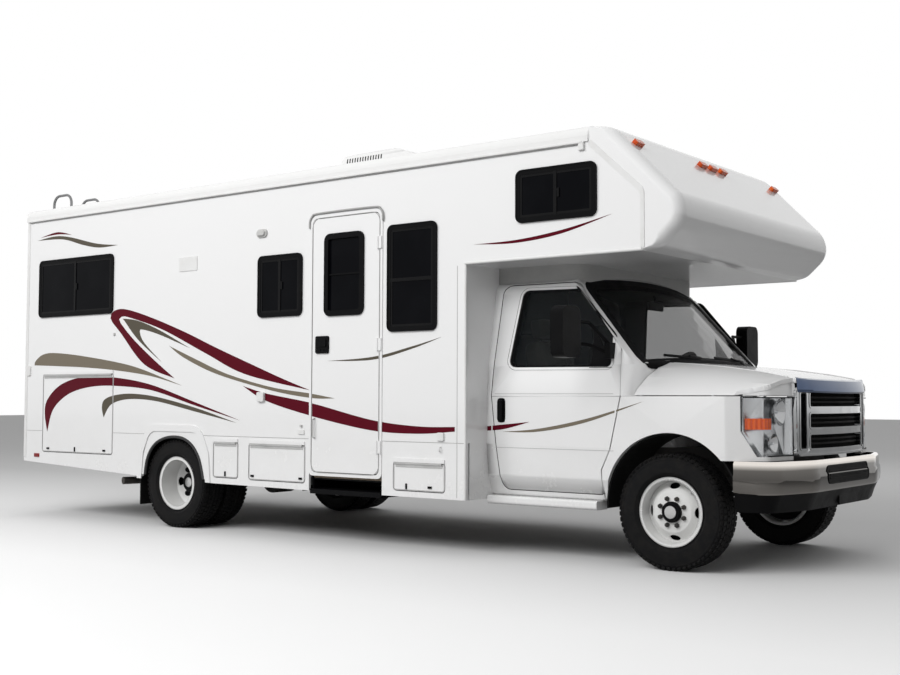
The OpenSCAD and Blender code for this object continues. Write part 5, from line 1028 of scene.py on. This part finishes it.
# Seats: cushions rounded and crowned by moving the vertices of a cut-up cube
def add_cushion(bm, place, size, puff, seams=()):
    """Stuffed block with a crown on its upper side and stitched valleys across it."""
    part = bmesh.new()
    bmesh.ops.create_cube(part, size=2)
    bmesh.ops.subdivide_edges(part, edges=part.edges[:], cuts=17, use_grid_fill=True)
    for v in part.verts:
        p = v.co.copy()
        k = sum(abs(c) ** 7 for c in p) ** (1 / 7)
        q = p / max(k, 1e-6) * max(abs(c) for c in p)
        crown = (1 - min(1, abs(q.x)) ** 4) * (1 - min(1, abs(q.y)) ** 4)
        dent = sum(math.exp(-((q.y - at) / 0.045) ** 2) for at in seams)
        rise = (puff * crown - 0.016 * dent) * (1 if q.z > 0.3 else 0)
        v.co = Vector((q.x * size[0] / 2, q.y * size[1] / 2, q.z * size[2] / 2 + rise))
    bmesh.ops.recalc_face_normals(part, faces=part.faces)
    merge(bm, part, place)


LEAN = Matrix.Rotation(math.radians(-9), 4, "Y")
UPRIGHT = LEAN @ Matrix(((0, 0, 1, 0), (0, 1, 0, 0), (-1, 0, 0, 0), (0, 0, 0, 1)))
SEAMS = (-0.52, 0.52)
for s, side in both_sides:
    y = s * 0.43
    bm = bmesh.new()
    add_cushion(bm, Matrix.Translation((1.97, y, 1.01)), (0.5, 0.5, 0.17), 0.012, SEAMS)
    add_cushion(bm, Matrix.Translation((1.735, y, 1.24)) @ UPRIGHT, (0.52, 0.49, 0.13), 0.012, SEAMS)
    add_cushion(bm, Matrix.Translation((1.672, y, 1.592)) @ UPRIGHT, (0.14, 0.26, 0.1), 0.008)
    pads = piece("seat_pads_" + side, bm, seat_cloth, stands_for=("cab_seats",), sharp=60)
    bm = bmesh.new()
    add_box(bm, (1.74, y - 0.2, 0.8), (2.16, y + 0.2, 0.935), 0.012)
    for d in (-0.07, 0.07):
        add_rod(bm, [(1.69, y + d, 1.46), (1.678, y + d, 1.54)], 0.006, 8)
    add_drum(bm, (1.75, y - s * 0.262, 0.99), (1.75, y - s * 0.24, 0.99), 0.03, 0.026, 20)
    piece("seat_bases_" + side, bm, black, stands_for=("cab_seats",))

# Coach: rails, beads, seams, a painted shadow line under the roof rail, and corner trims
ENDS = (-3.61, -3.366)
for s, side in both_sides:
    bm = bmesh.new()
    slab(bm, s, -3.63, 2.736, 2.5, 2.752, BED, 1.272, 0.004, 3)
    slab(bm, s, 2.47, 2.69, 2.512, 2.748, BED, 1.269, 0.006, 3)
    add_rod(bm, [(1.553, s * 1.25, 0.392), (1.553, s * 1.25, 2.008)], 0.01, 12)
    add_rod(bm, [(1.545, s * 1.249, 2.018), (2.925, s * 1.249, 2.018)], 0.01, 12)
    slab(bm, s, -3.6515, 0.53, -3.612, 2.74, BED, 1.2535, 0.0015)
    line = ((2.548, 2.738), (2.74, 2.563), (2.926, 2.394), (2.93, 2.38), (2.93, 2.03))
    ahead_of = ((2.56, 2.752), (2.752, 2.577), (2.94, 2.404), (2.944, 2.384), (2.944, 2.03))
    behind = [(2 * x - a, 2 * z - b) for (x, z), (a, b) in zip(line, ahead_of)]
    edges = [[(x, s * WALL, z) for x, z in spaced(e, 24)] for e in (ahead_of, behind)]
    add_laid(bm, edges, (0, -s, 0), None, 0.004)
    piece("coach_trim_" + side, bm, trim_white)
    bm = bmesh.new()
    for x0, x1 in (ENDS, (-2.314, 0.068), (0.802, 1.542)) if s < 0 else (ENDS, (-2.314, 1.542)):
        slab(bm, s, x0, 0.773, x1, 0.7768, LINE_BED, 1.2512)
    # Grey line just under the roof rail: painted shadow
    slab(bm, s, -3.61, 2.726, 2.466, 2.731, LINE_BED, 1.253)
    slab(bm, s, 1.479, 0.4, 1.483, 2.005, LINE_BED, 1.251)
    piece("coach_seams_" + side, bm, seam_and_shade_grey)

# Wheel arches of the coach: the opening rounded off, with a rubber lip
ARCH_OUT = ((-1.905, 0.43), (-1.888, 0.6), (-1.852, 0.7), (-1.8, 0.79), (-1.7, 0.816), (-1.3, 0.816),
            (-1.2, 0.79), (-1.148, 0.7), (-1.112, 0.6), (-1.085, 0.42))
ARCH_IN = ((-1.868, 0.43), (-1.848, 0.54), (-1.802, 0.63), (-1.722, 0.702), (-1.61, 0.744), (-1.49, 0.757),
           (-1.372, 0.744), (-1.268, 0.694), (-1.19, 0.61), (-1.146, 0.51), (-1.122, 0.42))
for s, side in both_sides:
    bm = bmesh.new()
    arc = spaced(curve(ARCH_IN, 8), 60)
    lines = (spaced(ARCH_OUT, 60), arc)
    add_laid(bm, [[(x, s * 1.247, z) for x, z in line] for line in lines], (0, -s, 0), None, 0.0045)
    piece("arch_web_" + side, bm, white)
    bm = bmesh.new()
    add_rod(bm, [(x, s * 1.249, z) for x, z in arc], 0.0125, 12)
    piece("arch_lip_" + side, bm, arch_rubber)

# Filler between the cab's roof and the coach above it, mid grey: painted shade in the gap under the overhang
roof = surface("cab_shell")
bm = bmesh.new()
plan = curve(((1.562, -0.862), (1.9, -0.862), (2.16, -0.855), (2.236, -0.78), (2.25, -0.6), (2.256, 0)), 8)
plan = spaced(plan + [(x, -y) for x, y in plan[-2::-1]], 81)
low = [roof.ray_cast(Vector((max(x - 0.004, 1.57), y * 0.985, 2.006)), (0, 0, -1))[0] for x, y in plan]
low = [max(hit.z, 1.8) if hit else 1.9 for hit in low]
add_strip(bm, [[(x, y, z - 0.004) for (x, y), z in zip(plan, low)], [(x, y, 1.975) for x, y in plan],
               [(x, y, 2.012) for x, y in plan]], 0.004)
piece("cab_roof_gap_shade", bm, seam_and_shade_grey)

# Hatches: grey outline, bright hinge bar, dark latches
BIG_LATCHES = ((0.09, "h"), (0.48, "v"), (0.89, "h"))
for s, name, box, latches in (
    (-1, "hatch_rear_right", (-3.36, 0.585, -2.32, 1.295), BIG_LATCHES),
    (-1, "hatch_small_right", (-1.005, 0.444, -0.715, 0.729), ((0.5, "v"),)),
    (-1, "hatch_mid_right", (-0.589, 0.44, 0.026, 0.725), ((0.07, "h"), (0.93, "h"))),
    (-1, "hatch_front_right", (0.91, 0.43, 1.375, 0.63), ((0.26, "v"), (0.72, "h"))),
    (1, "hatch_rear_left", (-3.36, 0.585, -2.32, 1.295), BIG_LATCHES),
):
    x0, z0, x1, z1 = box
    bm = bmesh.new()
    add_frame(bm, box, 0.003, 0.0075, 0.02, s * LINE_BED, s * 1.2522)
    piece(name + "_outline", bm, seam_and_shade_grey, name)
    bm = bmesh.new()
    ends = [(x, s * 1.257, z1 - 0.009) for x in (x0 + 0.02, x1 - 0.02)]
    add_drum(bm, *ends, 0.0102, 0.0102, 16)
    slab(bm, s, x0 + 0.02, z1 - 0.036, x1 - 0.02, z1 - 0.009, LINE_BED, 1.253, 0.001)
    piece(name + "_hinge", bm, satin, name)
    bm = bmesh.new()
    z = z0 + 0.03
    for share, way in latches:
        x = x0 + (x1 - x0) * share
        w, h = (0.006, 0.02) if way == "v" else (0.017, 0.008)
        for k, a, b, r in ((1, LINE_BED, 1.259, 0.002), (0.5, 1.258, 1.2615, 0.001)):
            slab(bm, s, x - w * k, z - h * k, x + w * k, z + h * k, a, b, r)
    piece(name + "_latches", bm, black, name)

# Entry door: window frame, lock, grab rod, surround with a drip cap
bm = bmesh.new()
add_frame(bm, (0.238, 1.711, 0.612, 2.311), -0.012, 0.03, 0.045, -1.248, -1.27)
add_box(bm, (0.262, -1.259, 2.006), (0.588, -BED, 2.018), 0.001)
piece("entry_window_frame", bm, black, "entry_door")
bm = bmesh.new()
add_plate(bm, oblong(0.14, 1.42, 0.276, 1.552, 0.014), "y", -1.2555, -1.27, 0.005)
add_plate(bm, oblong(0.158, 1.47, 0.258, 1.532, 0.01), "y", -1.269, -1.28, 0.004)
add_drum(bm, (0.19, -1.269, 1.444), (0.19, -1.274, 1.444), 0.011, 0.01, 20)
add_drum(bm, (0.228, -1.269, 1.444), (0.228, -1.274, 1.444), 0.008, 0.007, 20)
piece("entry_lock", bm, black, "entry_door")
bm = bmesh.new()
grip = ((0.782, 1.256), (0.79, 1.278), (0.92, 1.278), (0.928, 1.256))
add_rod(bm, [(0.132, -y, z) for z, y in grip], 0.006, 10)
piece("entry_rod", bm, satin, "entry_door")
bm = bmesh.new()
cap = [(0.066, 2.38), (0.068, 2.432), (0.092, 2.47), (0.14, 2.486), (0.435, 2.49), (0.73, 2.486),
       (0.778, 2.47), (0.802, 2.432), (0.804, 2.38)]
add_rod(bm, [(x, -1.26, z) for x, z in curve(cap, 6)], 0.008, 10)
add_frame(bm, (0.102, 0.531, 0.768, 2.445), -0.004, -0.009, 0.07, -1.2555, -1.258)
piece("entry_surround", bm, seam_and_shade_grey)

# Small fittings on the right wall, and markers on both
bm = bmesh.new()
for x0, z0, x1, z1, r, out, soft in (
    (-1.46, 2.14, -1.23, 2.26, 0.012, 1.256, 0.003),
    (-0.046, 0.806, 0.022, 0.842, 0.008, 1.258, 0.003),
    (-0.49, 1.054, -0.412, 1.13, 0.012, 1.274, 0.006),
    (-3.612, 1.285, -3.56, 1.378, 0.01, 1.264, 0.005),
    (1.312, 0.788, 1.372, 0.846, 0.01, 1.266, 0.005),
):
    add_plate(bm, oblong(x0, z0, x1, z1, r), "y", -BED, -out, soft)
hook = ((0.745, 1.25), (0.74, 1.269), (0.722, 1.272), (0.712, 1.26))
add_rod(bm, [(1.34, -y, z) for z, y in hook], 0.005, 8)
piece("wall_fittings", bm, trim_white)
bm = bmesh.new()
add_plate(bm, oblong(-0.52, 2.352, -0.404, 2.42, 0.033), "y", -BED, -1.264, 0.005)
add_plate(bm, oblong(-0.506, 2.364, -0.418, 2.408, 0.021), "y", -1.263, -1.28, 0.008, 3)
slab(bm, -1, -0.022, 0.862, -0.002, 0.88, BED, 1.264, 0.003)
slab(bm, -1, -2.322, 1.628, -2.302, 1.652, BED, 1.262, 0.003)
piece("porch_lamp", bm, lamp_grey)
bm = bmesh.new()
for s in (-1, 1):
    slab(bm, s, -3.478, 0.53, -3.402, 0.564, 1.248, 1.26, 0.005)
piece("side_markers", bm, red)

# Left wall: louvred vents, filler door, service hatch and heater outlet
bm = bmesh.new()
dark = bmesh.new()
for x0, z0, x1, z1 in ((-1.42, 0.98, -0.92, 1.32), (-1.42, 2.16, -0.92, 2.46)):
    inner = oblong(x0 + 0.03, z0 + 0.03, x1 - 0.03, z1 - 0.03, 0.006)
    add_ring(bm, oblong(x0, z0, x1, z1, 0.02), inner, "y", BED, 1.262)
    slab(dark, 1, x0 + 0.02, z0 + 0.02, x1 - 0.02, z1 - 0.02, BED, 1.2515)
    for k in range(7):
        z = z0 + 0.045 + (z1 - z0 - 0.09) * k / 6
        slab(bm, 1, x0 + 0.02, z - 0.011, x1 - 0.02, z + 0.006, 1.25, 1.26, 0.002)
add_plate(bm, oblong(1.05, 0.9, 1.23, 1.08, 0.03), "y", BED, 1.2545, 0.002)
add_plate(bm, oblong(-2.16, 0.5, -1.98, 0.68, 0.02), "y", BED, 1.256, 0.003)
piece("left_vents", bm, trim_white)
slab(dark, 1, 1.215, 0.975, 1.225, 1.005, 1.254, 1.258, 0.002)
add_turned(dark, [(0.0, 0.002), (0.03, 0.002), (0.036, 0.012), (0.048, 0.012), (0.052, 0.0)],
           outward(0.3, 1.25, 1, 0.62), 32)
piece("left_dark_parts", dark, soft_black)

# Roof: slots of the air conditioner, ribs on the vents' lids
units = surface("roof_units")
bm = bmesh.new()
for s in (-1, 1):
    for x in span(-0.42, -0.04, 14):
        slot = [[(x + d, s * ASIDE, z) for z in span(3.045, 3.125, 7)] for d in (-0.006, 0.006)]
        add_laid(bm, slot, (0, -s, 0), units, 0.001)
for y in span(-0.22, 0.22, 12):
    slot = [[(-5, y + d, z) for z in span(2.96, 3.06, 6)] for d in (-0.007, 0.007)]
    add_laid(bm, slot, (1, 0, 0), units, 0.001)
piece("cooler_slots", bm, soft_black)
bm = bmesh.new()
KNOB = ((0.02, 0.0), (0.022, 0.006), (0.012, 0.009), (0, 0.01))
for x in (-2.608, -1.462):
    add_turned(bm, KNOB, Matrix.Translation((x, 0, 2.955)), 20)
    for y in (-0.12, -0.04, 0.04, 0.12):
        add_box(bm, (x - 0.17, y - 0.006, 2.9545), (x + 0.17, y + 0.006, 2.96), 0.002)
piece("vent_ribs", bm, trim_white)

# Rear wall: lamp bezels, reversing lamps, blank plate
bm = bmesh.new()
clear = bmesh.new()
dark = bmesh.new()
for s in (-1, 1):
    y0, y1 = sorted((s * 1.01, s * 1.14))
    outer = oblong(y0 - 0.012, 0.948, y1 + 0.012, 1.302, 0.02)
    add_ring(bm, outer, oblong(y0 + 0.002, 0.962, y1 - 0.002, 1.288, 0.012), "x", REAR_BED, -3.683)
    add_plate(clear, oblong(y0 + 0.006, 0.966, y1 - 0.006, 1.05, 0.01), "x", -3.677, -3.68, 0.001)
piece("tail_bezels", bm, chrome)
piece("reversing_lamps", clear, lamp_grey)
add_plate(dark, oblong(0.25, 0.84, 0.61, 1.04, 0.012), "x", REAR_BED, -3.658, 0.002)
piece("rear_plate_holder", dark, black)
bm = bmesh.new()
add_plate(bm, oblong(0.28, 0.87, 0.58, 1.02, 0.008), "x", -3.6575, -3.66, 0.0006)
piece("rear_plate_blank", bm, trim_white)

# Camera of the photograph
lens_px = 1220.94
width_px, height_px = 900, 675
sensor_mm = 36.0
axis_px = (457.3, 335.3)
yaw, pitch, roll = 0.6504, 0.0518, 0.0029
ahead = Vector((-math.sin(yaw) * math.cos(pitch), math.cos(yaw) * math.cos(pitch), math.sin(pitch)))
right = Vector((math.cos(yaw), math.sin(yaw), 0))
up = right.cross(ahead)
right, up = right * math.cos(roll) + up * math.sin(roll), up * math.cos(roll) - right * math.sin(roll)
turn = Matrix((right, up, -ahead)).transposed()
camera = put_in_scene("camera", bpy.data.cameras.new("camera"))
camera.matrix_world = Matrix.Translation((3.6273 + AXLE, -7.9743, 1.083)) @ turn.to_4x4()
camera.data.sensor_width = sensor_mm
camera.data.lens = lens_px * sensor_mm / width_px
camera.data.shift_x = (width_px / 2 - axis_px[0]) / width_px
camera.data.shift_y = (axis_px[1] - height_px / 2) / width_px
bpy.context.scene.camera = camera


# Floor and light
def plainly_seen(tree):
    """1 on rays from the camera, from mirrors and through glass."""
    seen = Value(tree).node("LightPath", out="Is Camera Ray")
    for kind in ("Is Glossy Ray", "Is Transmission Ray"):
        seen = seen.maths("MAXIMUM", seen, seen.node("LightPath", out=kind))
    return seen


floor_mat, spot, link = finish_of("studio_floor", Roughness=0.75, Specular_IOR_Level=0.2)
stain = spot.noise(0.6, 2.0)
bounce = stain.tint((0.34, 0.34, 0.34), (0.36, 0.36, 0.36))
# The floor the camera sees grows darker from near to far: painted shade, with faint stains from the noise.
plain = (spot.axis("Y").step(-3.0, 6.0) + stain * 0.04).clamp().tint((0.88, 0.88, 0.88), (0.54, 0.54, 0.54))
link(Base_Color=plainly_seen(spot.tree).over(bounce, plain))
floor_bm = bmesh.new()
bmesh.ops.create_grid(floor_bm, x_segments=1, y_segments=1, size=60)
floor_mesh = bpy.data.meshes.new("studio_floor")
floor_bm.to_mesh(floor_mesh)
floor_bm.free()
floor_mesh.materials.append(floor_mat)
studio_floor = put_in_scene("studio_floor", floor_mesh)

# World: white to the camera, a soft sky that darkens towards the horizon for everything else
world = bpy.data.worlds.new("studio")
bpy.context.scene.world = world
world.use_nodes = True
tree = world.node_tree
sky = tree.nodes["Background"]
coordinates = Value(tree).node("TexCoord", out="Generated")
seen = plainly_seen(tree)
shade = coordinates.axis("Z").step(-0.05, 0.75) * 0.35 + 0.26 - coordinates.axis("X").step(0.0, 1.0) * 0.25
tree.links.new((seen * (1 - shade) + shade).socket, sky.inputs["Strength"])
sky.inputs["Color"].default_value = (1, 1, 1, 1)


def lamp(name, place, target, size, power):
    data = bpy.data.lights.new(name, "AREA")
    data.shape = "RECTANGLE"
    data.size, data.size_y = size
    data.energy = power
    obj = put_in_scene(name, data)
    obj.location = place
    obj.rotation_euler = (Vector(target) - Vector(place)).to_track_quat("-Z", "Y").to_euler()
    obj.visible_glossy = False


lamp("key", (-1.0, -11.0, 8.0), (0, 0, 1.2), (14, 6), 1330)
lamp("front", (12.0, -3.0, 6.0), (2.5, 0, 1.2), (6, 5), 12)
lamp("rim", (-4.0, 9.0, 8.0), (0, 0, 1.5), (9, 5), 260)
bpy.context.scene.view_settings.view_transform = "Standard"
